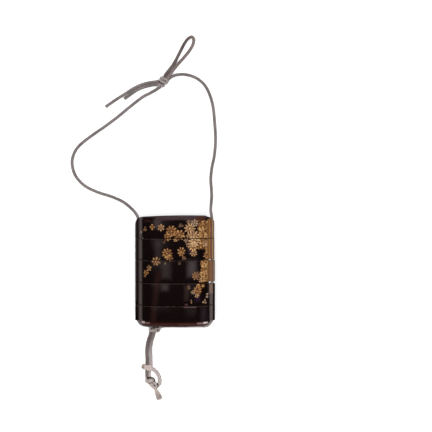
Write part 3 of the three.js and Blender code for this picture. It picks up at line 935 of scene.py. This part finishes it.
def paint_blossoms(tree, place, tier):
    """Masks of a tier's blossoms: how much gold, how bright, and how silvery."""
    gold = tone = pale = 0.0
    for x, y, radius, petals, turn, slim, bright, silver in BLOSSOMS:
        if not crosses(y, radius, BLOSSOM_SOFT, tier):
            continue
        outputs = place_group(tree, blossom_group, place, Centre=(x, y, 0), Radius=radius,
                              Petals=petals, Turn=turn * math.pi, Slim=slim)
        gold = larger(tree, gold, outputs["Mask"])
        tone = larger(tree, tone, times(tree, outputs["Tone"], bright))
        if silver > SILVER_FROM:
            pale = larger(tree, pale, times(tree, outputs["Mask"], silver))
    return gold, tone, pale


print("Silver shows on", sum(row[-1] > SILVER_FROM for row in BLOSSOMS), "blossoms")

# %% Paint the gold fields and put the picture together
PETAL_CELLS = 0.36
BLOSSOM_SHAKE = 0.45


def fields_mask(tree, place, panels, tier):
    """How far a place is inside any of a list of panels that a tier shows."""
    mask = 0.0
    for centre, half, soft in panels:
        if crosses(centre[1], half[1], soft + FIELD_SHAKE, tier):
            mask = larger(tree, mask, panel_mask(tree, place, centre, half, soft))
    return mask


def petal_outlines(tree, place):
    """Pale outlines of packed petals with darker hearts, as cells on the flat of the front."""
    cells = tree.nodes.new("ShaderNodeTexVoronoi")
    cells.feature = "DISTANCE_TO_EDGE"
    cells.inputs["Scale"].default_value = PETAL_CELLS
    feed(tree, cells.inputs["Vector"], vectors(tree, "MULTIPLY", place, (1, 1, 0)))
    depth = cells.outputs["Distance"]
    outlines = spread(tree, depth, 0.03, 0.2, 0.28, 0.85)
    return minus(tree, outlines, spread(tree, depth, 0.34, 0.44, 0.0, 0.4))


def paint_picture(tree, place, tier):
    """Masks of the gold picture: how much gold, how bright, and how silvery."""
    painted = shaken(tree, place, 0.9, BLOSSOM_SHAKE)
    rough = shaken(tree, place, 0.3, FIELD_SHAKE)
    gold, tone, pale = paint_blossoms(tree, painted, tier)
    field = fields_mask(tree, rough, GOLD_FIELDS, tier)
    speckle = spread(tree, noise(tree, place, 0.7, 2.0), 0.35, 0.6, 0.7, 1.2)
    field_tone = times(tree, field, times(tree, petal_outlines(tree, painted), speckle))
    holes = fields_mask(tree, rough, HOLES, tier)
    gold = times(tree, larger(tree, gold, field), minus(tree, 1.0, holes))
    return gold, larger(tree, tone, field_tone), pale


print("The picture has", len(HOLES), "bare places inside its gold")

# %% [markdown]
# The ground of the picture is not one black. Age and handling have left a little bloom and brown
# stretches where the black has thinned. Light is painted on it too: pale grey patches on the
# front and bands down both runners are painted reflections of the soft boxes, the lid's top rim
# and the base's very edge are paler with painted reflection, and the corners under the case have
# pale painted highlights. Noise alone would put such marks anywhere, so each is a soft panel in
# its own place: centre, half width and height, softness, lean if it has one, and colour.

# %% Where the ground has changed, and where light is painted on it
BLOOM_AND_REFLECTIONS = [
    # This panel and the next four are pale grey patches: painted reflections of the soft boxes.
    ((-11.9, 16.0), (2.4, 7.0), 2.0, 0.0, (0.019, 0.0135, 0.0135)),
    ((-12.4, 35.0), (2.2, 3.0), 2.2, 0.0, (0.040, 0.026, 0.026)),
    ((-6.4, 1.0), (3.4, 5.6), 2.8, 0.0, (0.023, 0.016, 0.016)),
    ((-7.0, -11.4), (2.4, 2.2), 1.8, 0.0, (0.026, 0.019, 0.020)),
    ((12.8, 2.4), (3.0, 5.6), 2.8, 0.0, (0.040, 0.030, 0.030)),
    ((-13.9, -19.2), (2.0, 19.6), 1.6, 0.109, (0.0135, 0.0050, 0.0042)),
    ((0.0, -38.4), (22.0, 1.6), 1.6, 0.0, (0.013, 0.0030, 0.0026)),
    # These two mauve bands along the lid's rounded top rim are painted reflection.
    ((4.0, 39.9), (18.0, 1.9), 1.1, 0.0, (0.052, 0.030, 0.034)),
    ((0.0, 41.0), (24.0, 1.3), 0.7, 0.0, (0.060, 0.040, 0.043)),
    ((-20.0, 37.3), (2.4, 0.8), 0.9, 0.0, (0.022, 0.0065, 0.006)),
    ((11.5, 15.4), (1.2, 1.8), 1.2, 0.0, (0.022, 0.012, 0.020)),
    ((17.0, -20.2), (1.8, 1.6), 1.6, 0.0, (0.013, 0.0055, 0.015)),
    ((8.6, -15.5), (1.5, 5.5), 1.4, 0.0, (0.018, 0.009, 0.007)),
    ((18.8, 39.2), (2.8, 1.2), 1.2, 0.0, (0.070, 0.021, 0.010)),
    ((21.3, -31.0), (1.8, 5.0), 2.0, 0.0, (0.018, 0.0105, 0.0135)),
]
RUNNER_REFLECTIONS = [
    # Pale bands down the runners and their webs: painted reflections of the light above.
    ((-25.4, 2.0), (1.3, 60.0), 0.6, (0.052, 0.037, 0.037)),
    ((-24.9, 2.0), (0.6, 60.0), 0.45, (0.080, 0.059, 0.059)),
    ((-28.7, 8.0), (0.35, 30.0), 0.4, (0.034, 0.023, 0.022)),
    ((26.8, 2.0), (1.1, 60.0), 0.5, (0.078, 0.058, 0.055)),
]
RIM_WEAR_AND_SHEEN = [
    # A pale mauve band along the lid's top edge: painted reflection.
    ((0.0, 41.5), (24.0, 0.8), 0.4, (0.13, 0.10, 0.10)),
    ((0.0, -40.4), (24.0, 2.6), 0.5, (0.040, 0.0125, 0.0095)),
    # Paler along the base's very edge, where it turns down towards the table: painted reflection.
    ((0.0, -41.6), (24.0, 1.1), 0.5, (0.17, 0.105, 0.093)),
    ((12.0, -39.2), (9.0, 1.0), 0.9, (0.055, 0.024, 0.018)),
    # These four are pale spots on the base's two front corners: painted highlights.
    ((-21.6, -37.8), (3.2, 0.6), 0.6, (0.15, 0.085, 0.078)),
    ((-23.5, -37.4), (1.3, 0.7), 0.5, (0.46, 0.35, 0.34)),
    ((20.0, -38.1), (3.4, 0.6), 0.6, (0.20, 0.13, 0.125)),
    ((22.7, -37.8), (1.5, 0.6), 0.5, (0.64, 0.51, 0.49)),
    ((-24.9, 28.9), (0.5, 0.6), 0.4, (0.40, 0.28, 0.20)),
    ((11.4, -26.0), (4.6, 0.25), 0.35, (0.10, 0.055, 0.055)),
    ((21.4, -25.1), (3.0, 0.2), 0.35, (0.085, 0.055, 0.055)),
    ((8.6, -24.9), (0.9, 1.2), 0.7, (0.07, 0.028, 0.03)),
]
GOLD_STRIPS_AND_REFLECTION = [
    ((25.1, 15.6), (1.0, 23.0), 0.4, (0.255, 0.12, 0.038)),
    ((26.8, 23.6), (0.5, 15.0), 0.3, (0.105, 0.040, 0.026)),
    ((27.8, 23.6), (0.4, 15.0), 0.3, (0.26, 0.15, 0.068)),
    ((28.8, 23.6), (0.5, 14.5), 0.3, (0.16, 0.095, 0.05)),
    ((26.0, 0.1), (1.1, 7.9), 0.4, (0.175, 0.078, 0.032)),
    ((27.6, 0.1), (0.5, 7.9), 0.3, (0.115, 0.056, 0.030)),
    # A pale strip on the outer side of the right runner of the middle tier: painted reflection.
    ((28.9, 0.1), (0.7, 7.9), 0.3, (0.20, 0.135, 0.095)),
    ((26.6, -12.4), (1.3, 4.0), 0.6, (0.155, 0.098, 0.072)),
]
print("Panels on the ground:", [len(p) for p in (BLOOM_AND_REFLECTIONS, RUNNER_REFLECTIONS, RIM_WEAR_AND_SHEEN, GOLD_STRIPS_AND_REFLECTION)])

# %% Paint the panels, the seams and the gold leaf
SEAM_DARKNESS = 0.85
WEAR_BELOW_SEAM = 0.55


def paint_panels(tree, place, color, panels, tier):
    """Blend those of a list of soft panels that a tier shows into a colour."""
    for centre, half, soft, *lean, shade in panels:
        if not crosses(centre[1], half[1], soft + GROUND_SHAKE, tier):
            continue
        mask = panel_mask(tree, place, centre, half, soft, *lean)
        color = blend_colors(tree, mask, color, (*shade, 1))
    return color


def paint_seams(tree, y, scuffs, tier):
    """Masks of a tier's dark seams, and of the worn line just under each."""
    seam = wear = 0.0
    for height in tier:
        if abs(height) > TOP - SEAM:
            continue
        up = minus(tree, y, height)
        under = size_of(tree, plus(tree, up, WEAR_BELOW_SEAM))
        wear = larger(tree, wear, spread(tree, under, 0.4, 0.1))
        seam = larger(tree, seam, spread(tree, size_of(tree, up), 0.5, 0.2))
    wear = times(tree, wear, spread(tree, scuffs, 0.38, 0.56, 0.15, 0.9))
    return times(tree, seam, SEAM_DARKNESS), wear


def gold_leaf(tree, place, tone, pale):
    """The gold's colour by its brightness: grained, and silvery where it has worn."""
    ramp = tree.nodes.new("ShaderNodeValToRGB")
    stops = ramp.color_ramp.elements
    stops[0].position, stops[0].color = GOLD_STOPS[0]
    stops[1].position, stops[1].color = GOLD_STOPS[-1]
    for position, color in GOLD_STOPS[1:-1]:
        stops.new(position).color = color
    grain = spread(tree, noise(tree, place, 0.75, 3.0), 0.36, 0.62, 0.45, 1.2)
    tree.links.new(times(tree, tone, grain), ramp.inputs["Fac"])
    return blend_colors(tree, times(tree, pale, tone), ramp.outputs["Color"], SILVER)


print("Seams are darkened by", SEAM_DARKNESS)

# %% The lacquer
BLACK_LACQUER = (0.0042, 0.0018, 0.0018, 1)
WORN_LACQUER = (0.044, 0.025, 0.022, 1)
SILVER = (0.42, 0.36, 0.29, 1)
GOLD_STOPS = [
    (0.05, (0.040, 0.012, 0.003, 1)), (0.3, (0.150, 0.058, 0.016, 1)),
    (0.6, (0.34, 0.160, 0.050, 1)), (0.95, (0.62, 0.37, 0.155, 1)),
]

# All that is painted fades in up the rounded sides, between these heights over the table.
FRONT_FROM = AXIS_HEIGHT - 7.0
FRONT_TO = AXIS_HEIGHT + 0.3

# The runners are duller than the case. They begin between these distances from its middle.
RUNNER_FROM = 23.6
RUNNER_TO = 24.4

LACQUER_ROUGHNESS = 0.2
GOLD_ROUGHER = 0.3
RUNNER_ROUGHER = 0.25
GOLD_METAL = 0.12
LACQUER_WAVES = 0.35


def make_lacquer(name, tier):
    """The lacquer of one tier, with its part of the picture. tier is (top, bottom)."""
    material, tree, shader, place = start_material(name)
    split = tree.nodes.new("ShaderNodeSeparateXYZ")
    tree.links.new(place, split.inputs[0])
    front = spread(tree, split.outputs["Z"], FRONT_FROM, FRONT_TO)
    scuffs = noise(tree, place, 0.8, 4.0)
    seam, wear = paint_seams(tree, split.outputs["Y"], scuffs, tier)
    uneven = shaken(tree, place, 0.2, GROUND_SHAKE)
    # Beside bloom, wear and tints, these panels paint reflections and highlights into the colour.
    color = paint_panels(tree, uneven, BLACK_LACQUER, BLOOM_AND_REFLECTIONS, tier)
    color = blend_colors(tree, wear, color, WORN_LACQUER)
    color = paint_panels(tree, place, color, RUNNER_REFLECTIONS, tier)
    color = paint_panels(tree, place, color, RIM_WEAR_AND_SHEEN, tier)
    gold, tone, pale = paint_picture(tree, place, tier)
    gold = times(tree, gold, front)
    color = blend_colors(tree, gold, color, gold_leaf(tree, place, tone, pale))
    # Gold strips on the right runner, and one pale strip of painted reflection.
    color = paint_panels(tree, place, color, GOLD_STRIPS_AND_REFLECTION, tier)
    color = blend_colors(tree, seam, color, BLACK_LACQUER)
    color = blend_colors(tree, front, BLACK_LACQUER, color)
    tree.links.new(color, shader.inputs["Base Color"])
    runner = spread(tree, size_of(tree, split.outputs["X"]), RUNNER_FROM, RUNNER_TO)
    roughness = plus(tree, LACQUER_ROUGHNESS, times(tree, gold, GOLD_ROUGHER))
    roughness = plus(tree, roughness, times(tree, runner, RUNNER_ROUGHER))
    tree.links.new(roughness, shader.inputs["Roughness"])
    tree.links.new(times(tree, gold, GOLD_METAL), shader.inputs["Metallic"])
    bump(tree, shader, noise(tree, place, 0.06, 1.0), LACQUER_WAVES)
    print(name, "has", len(tree.nodes), "nodes")
    return material


print("The gold has", len(GOLD_STOPS), "colours")

# %% [markdown]
# ## The tiers
#
# On the real case each tier is a thin oval box whose inner lip rises into the tier above. An oval
# outline could be extruded upwards, but the dome and the round rims would be hard to add. So half
# of its section is drawn as a line from the middle of its outside to the middle of its inside,
# the rims are bevelled, and the line is spun about the long axis. Pressing the turned form
# thinner makes the oval, with the same formula as the CAD source, so that it fits. Only the lid's
# top departs from it a little: it is flatter than an even dome and leans up to the right.

# %% Sizes of the case
HALF_WIDTH = 25.1
HALF_THICKNESS = 11.0
SECTION_POWER = 2.5
RIM_RADIUS = 3.3
CROWN = 1.0
LID_CROWN = 0.45
LID_TILT = 0.0165
LID_TILT_FROM = 33.0
LID_TILT_RUN = 4.0
SKIRT_WALL = 1.5
RISER_CLEARANCE = 0.3
RISER_WALL = 1.0
RISER_HEIGHT = 6.5
FLOOR = 1.5
LID_TOP = 2.0
BASE_FLOOR = 2.2
RIM_SOFTNESS = 0.25
print("The case is", 2 * HALF_WIDTH, "mm wide and", 2 * HALF_THICKNESS, "mm thick")

# %% Half of a tier's section
CROWN_STEPS = 6
CORNER_STEPS = 8


def end_outline(sign):
    """The domed end and its round rim, from the middle outwards, towards +Y or -Y."""
    flat = HALF_WIDTH - RIM_RADIUS
    crown = LID_CROWN if sign > 0 else CROWN
    shares = [i / CROWN_STEPS for i in range(CROWN_STEPS + 1)]
    points = [(share * flat, sign * (TOP - crown * share**2)) for share in shares]
    for i in range(1, CORNER_STEPS + 1):
        angle = i / CORNER_STEPS * math.pi / 2
        drop = crown + RIM_RADIUS * (1 - math.cos(angle))
        points.append((flat + RIM_RADIUS * math.sin(angle), sign * (TOP - drop)))
    return points


def tier_section(tier):
    """The (radius, height) points of a tier's half section, from outside to inside."""
    top, bottom = TIERS[tier]
    skirt = HALF_WIDTH - SKIRT_WALL
    lip = skirt - RISER_CLEARANCE
    inner = lip - RISER_WALL
    recess = bottom + RISER_HEIGHT + RISER_CLEARANCE
    under = [(HALF_WIDTH, bottom + SEAM / 2), (skirt, bottom + SEAM / 2), (skirt, recess)]
    riser = [(HALF_WIDTH, top - SEAM / 2), (lip, top - SEAM / 2),
             (lip, top + RISER_HEIGHT), (inner, top + RISER_HEIGHT)]
    if tier == "lid":
        ceiling = TOP - CROWN - LID_TOP
        return end_outline(1) + under + [(inner, recess), (inner, ceiling), (0, ceiling)]
    if tier == "case_4":
        floor = -TOP + CROWN + BASE_FLOOR
        return end_outline(-1) + riser + [(inner, floor), (0, floor)]
    floor = recess + FLOOR
    return [(0, recess)] + under[::-1] + riser + [(inner, floor), (0, floor)]


print("Points in each half section:", [len(tier_section(tier)) for tier in TIERS])

# %% Spin a section and press it oval
SPIN_STEPS = 144


def press_oval(bm):
    """Press the turned form thinner, keep its rims round and lay it flat at its height."""
    for vert in bm.verts:
        radius = math.hypot(vert.co.x, vert.co.z) / MM
        angle = math.atan2(vert.co.z, vert.co.x)
        inset = min(HALF_WIDTH - radius, RIM_RADIUS)
        share = radius / (HALF_WIDTH - inset)
        wide, high = (HALF_WIDTH - inset) * share, (HALF_THICKNESS - inset) * share
        power = 2 / SECTION_POWER
        x = math.copysign(abs(math.cos(angle)) ** power, math.cos(angle)) * wide
        z = math.copysign(abs(math.sin(angle)) ** power, math.sin(angle)) * high
        y = vert.co.y / MM
        y += LID_TILT * x * clamped((y - LID_TILT_FROM) / LID_TILT_RUN)
        vert.co = Vector((x, y, max(0.0, z + AXIS_HEIGHT))) * MM


def spin_tier(tier):
    """The closed oval shell of a tier as a bmesh."""
    bm = bmesh.new()
    verts = [bm.verts.new((r * MM, y * MM, 0)) for r, y in tier_section(tier)]
    edges = [bm.edges.new(pair) for pair in zip(verts, verts[1:])]
    top, bottom = TIERS[tier]
    seam_rims = [v for v in verts if math.isclose(v.co.x, HALF_WIDTH * MM, abs_tol=1e-6)
                 and min(abs(v.co.y / MM - top), abs(v.co.y / MM - bottom)) < SEAM]
    bmesh.ops.bevel(bm, geom=seam_rims, offset=RIM_SOFTNESS * MM, offset_type="OFFSET",
                    segments=3, profile=0.5, affect="VERTICES", material=-1)
    bmesh.ops.spin(bm, geom=list(bm.verts) + list(bm.edges), cent=(0, 0, 0), axis=(0, 1, 0),
                   angle=math.tau, steps=SPIN_STEPS, use_merge=True)
    bmesh.ops.remove_doubles(bm, verts=bm.verts, dist=1e-6)
    press_oval(bm)
    bmesh.ops.remove_doubles(bm, verts=bm.verts, dist=1e-6)
    bmesh.ops.recalc_face_normals(bm, faces=bm.faces)
    return bm


print("Each half section is spun in", SPIN_STEPS, "steps")

# %% [markdown]
# ## Cord runners
#
# Each tier carries a short tube on each side, joined to it by a flat web, and together they
# guide the cord. A boolean could cut the bore, but it leaves untidy faces. So a tube is a closed
# ring section: its outside, its two end faces and its bore are one chain of rings, extruded one
# from the next and bridged back to the first. The ends are functions of place, so the top ones
# can be cut round and the broken ones chipped. On the right, wear has left the upper two flatter.

# %% The outline and the ends of a runner
RUNNER_RADIUS = 2.4
RUNNER_BORE_RADIUS = 1.4
WEB_HALF = 2.1
RUNNER_CORNER = 6.0
RUNNER_TOP = TOP - 0.9
RUNNER_SIDES = 40
RUNNER_EDGE = 0.15
RUNNER_GAP = 0.05
WEB_DROP = 1.7
WEB_EDGE_X = 25.8
WEB_EDGE_SOFTNESS = 0.5
CORNER_X = RUNNER_X + RUNNER_RADIUS - RUNNER_CORNER
CORNER_Y = RUNNER_TOP - RUNNER_CORNER


def outside_of_runner(angle, reach, worn):
    """Distance from the cord to the runner's surface. Angle 0 points away from the case."""
    across, up = math.cos(angle), abs(math.sin(angle))
    if across < 0:
        return max(RUNNER_RADIUS, min(WEB_HALF / max(up, 1e-6), reach / -across))
    return min(RUNNER_RADIUS, (RUNNER_RADIUS - worn) / max(across, 1e-6))


def straight(height):
    """An even end at a height."""
    return lambda x, angle: height


def rounded_corner(x, angle):
    """The top end of the lid's runner, which is cut round on its outer side."""
    if x <= CORNER_X:
        return RUNNER_TOP
    return CORNER_Y + math.sqrt(max(0.0, RUNNER_CORNER**2 - (x - CORNER_X) ** 2))


def chipped(height, depth, direction, seed):
    """An end that is broken unevenly, deeper on the outer side."""
    def end(x, angle):
        rough = math.sin(3 * angle + seed) + 0.6 * math.sin(7 * angle + 2 * seed)
        return height + direction * depth * (0.75 + 0.16 * rough)
    return end


def mouth_with_web(x, angle):
    """The lowest mouth: the web beside the case reaches a little further down than the tube."""
    return MOUTH_BASE - WEB_DROP * clamped((WEB_EDGE_X - x) / WEB_EDGE_SOFTNESS)


print("A runner is", 2 * RUNNER_RADIUS, "mm thick, its bore", 2 * RUNNER_BORE_RADIUS, "mm")

# %% Sweep a runner's rings
# Each ring is (how far inside the outline, share of the length, shift along it). None is the bore.
EDGE_RINGS = [(0.3 * RUNNER_EDGE, 0, 0.3 * RUNNER_EDGE), (0, 0, RUNNER_EDGE)]
SIDE_RINGS = [(0, share, 0) for share in (0.25, 0.5, 0.6, 0.75)]
TOP_RINGS = [(0, 1, -RUNNER_EDGE), (0.3 * RUNNER_EDGE, 1, -0.3 * RUNNER_EDGE), (RUNNER_EDGE, 1, 0)]
BORE_RINGS = [(None, 1, 0), (None, 0.5, 0), (None, 0, 0), (RUNNER_EDGE, 0, 0)]
RUNNER_RINGS = EDGE_RINGS + SIDE_RINGS + TOP_RINGS + BORE_RINGS
WEB_STEP = 0.55


def add_runner(bm, side, low_end, high_end, reach_low, reach_high, worn):
    """Add one closed length of runner to a tier. The ends are functions of (x, angle)."""
    ring = list(bmesh.ops.create_circle(bm, cap_ends=False, segments=RUNNER_SIDES,
                                        radius=MM)["verts"])
    first = ring
    for i, (inset, share, offset) in enumerate(RUNNER_RINGS):
        if i:
            ring = next_ring(bm, ring)
        for k, vert in enumerate(ring):
            angle = math.tau * k / RUNNER_SIDES
            reach = reach_low if share < WEB_STEP else reach_high
            radius = RUNNER_BORE_RADIUS
            if inset is not None:
                radius = outside_of_runner(angle, reach, worn) - inset
            x = RUNNER_X + radius * math.cos(angle)
            low, high = low_end(x, angle), high_end(x, angle)
            y = low + (high - low) * share + offset
            vert.co = Vector((side * x, y, AXIS_HEIGHT + radius * math.sin(angle))) * MM
    bmesh.ops.bridge_loops(bm, edges=ring_edges(bm, first) + ring_edges(bm, ring))


print("A runner is swept through", len(RUNNER_RINGS), "rings")

# %% Make the five tiers
WEB_ROOT_X = 24.4
WEB_ROOT_X_IN_LID = 22.5
REACH_IN_WALL = RUNNER_X - WEB_ROOT_X
REACH_IN_LID = RUNNER_X - WEB_ROOT_X_IN_LID

# Where the right runner's ends are broken: how deep, and a number that shapes the break.
CHIPS_BELOW = {"case_1": (0.35, 0.4), "case_2": (1.0, 1.3)}
CHIPS_ABOVE = {"case_2": (0.35, 2.1), "case_3": (1.0, 3.2)}
WORN_FLAT = {"lid": 0.55, "case_1": 0.4}


def runner_ends(tier, side):
    """The two ends of a tier's runner, and how far its outer side is worn flat."""
    top, bottom = TIERS[tier]
    low = mouth_with_web if tier == "case_4" else straight(bottom + RUNNER_GAP)
    high = rounded_corner if tier == "lid" else straight(top - RUNNER_GAP)
    if side < 0:
        return low, high, 0.0
    if tier in CHIPS_BELOW:
        depth, seed = CHIPS_BELOW[tier]
        low = chipped(bottom, depth, 1, seed)
    if tier in CHIPS_ABOVE:
        depth, seed = CHIPS_ABOVE[tier]
        high = chipped(top, depth, -1, seed)
    return low, high, WORN_FLAT.get(tier, 0.0)


def make_tier(tier):
    """One lacquered tier with both its runners, in place of its CAD node."""
    bm = spin_tier(tier)
    for side in (-1, 1):
        low, high, worn = runner_ends(tier, side)
        reach_high = REACH_IN_LID if tier == "lid" else REACH_IN_WALL
        add_runner(bm, side, low, high, REACH_IN_WALL, reach_high, worn)
    bmesh.ops.recalc_face_normals(bm, faces=bm.faces)
    lacquer = make_lacquer(tier + "_lacquer", TIERS[tier])
    piece = finish_piece(tier + "_lacquered", bm, lacquer)
    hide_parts(tier)


for tier in TIERS:
    make_tier(tier)

# %% [markdown]
# ## Floor and light
#
# The case lies on a plain white table. An even grey sky would light it well enough, but lacquer
# shows what it mirrors, so the lights are shaped for it: a wide overhead panel lights the table
# and the silk but is hidden from reflections, and two narrow, slightly pink soft boxes are what
# the black lacquer mirrors as pale bands. Those pale bands are also painted into the lacquer's
# colour as painted reflections.

# %% White table
FLOOR_SIZE = 6.0
FLOOR_GLOW = 0.3
DIM_WHITE = (0.90, 0.90, 0.90, 1)
BRIGHT_WHITE = (0.92, 0.92, 0.92, 1)

floor_material, floor_tree, floor_shader, floor_place = start_material("white_table")
shade = spread(floor_tree, noise(floor_tree, floor_place, 0.004), 0.3, 0.7)
floor_color = blend_colors(floor_tree, shade, DIM_WHITE, BRIGHT_WHITE)
floor_tree.links.new(floor_color, floor_shader.inputs["Base Color"])
floor_shader.inputs["Roughness"].default_value = 0.9
floor_shader.inputs["Specular IOR Level"].default_value = 0.1
floor_shader.inputs["Emission Color"].default_value = (1, 1, 1, 1)
floor_shader.inputs["Emission Strength"].default_value = FLOOR_GLOW
floor_bm = bmesh.new()
bmesh.ops.create_grid(floor_bm, x_segments=1, y_segments=1, size=FLOOR_SIZE / 2)
floor_mesh = bpy.data.meshes.new("table")
floor_bm.to_mesh(floor_mesh)
floor_bm.free()
floor_mesh.materials.append(floor_material)
table = bpy.data.objects.new("table", floor_mesh)
bpy.context.scene.collection.objects.link(table)
table.visible_glossy = False
print("Table", FLOOR_SIZE, "m wide")

# %% Lights
CASE_MIDDLE = Vector((0, 0, 0.02))
LAMP_DISTANCE = 0.6
SOFT_BOX_COLOR = (1.0, 0.84, 0.82)
WORLD_GLOW = 0.02


def add_panel_light(name, place, aim, width, length, power, color=(1, 1, 1), mirrored=True):
    """A rectangular area light, in metres and watts, aimed at a point."""
    data = bpy.data.lights.new(name, "AREA")
    data.shape = "RECTANGLE"
    data.size, data.size_y = width, length
    data.energy = power
    data.color = color
    light = bpy.data.objects.new(name, data)
    light.location = place
    light.rotation_mode = "QUATERNION"
    light.rotation_quaternion = (Vector(aim) - Vector(place)).to_track_quat("-Z", "Y")
    light.visible_glossy = mirrored
    bpy.context.scene.collection.objects.link(light)
    print(name, "gives", round(power / (math.pi * width * length), 2), "W per m2 and sr")


def overhead(angle, along):
    """A place at an angle from straight up, to the right, and so far along the case."""
    angle = math.radians(angle)
    across, up = math.sin(angle) * LAMP_DISTANCE, math.cos(angle) * LAMP_DISTANCE
    return CASE_MIDDLE + Vector((across, along, up))


add_panel_light("sky_panel", (0.03, 0.04, 1.3), (0.03, 0.04, 0),
                width=2.6, length=2.6, power=46, mirrored=False)
add_panel_light("soft_box_left", overhead(-24, 0.12), CASE_MIDDLE + Vector((0, 0.12, 0)),
                width=0.20, length=0.36, power=0.055, color=SOFT_BOX_COLOR)
add_panel_light("soft_box_right", overhead(20, 0.03), CASE_MIDDLE + Vector((0, 0.03, 0)),
                width=0.17, length=0.20, power=0.03, color=SOFT_BOX_COLOR)

world = bpy.data.worlds.new("studio")
bpy.context.scene.world = world
world.use_nodes = True
world.node_tree.nodes["Background"].inputs["Color"].default_value = (1, 1, 1, 1)
world.node_tree.nodes["Background"].inputs["Strength"].default_value = WORLD_GLOW
bpy.context.scene.view_settings.view_transform = "Standard"
print("Lights ready")
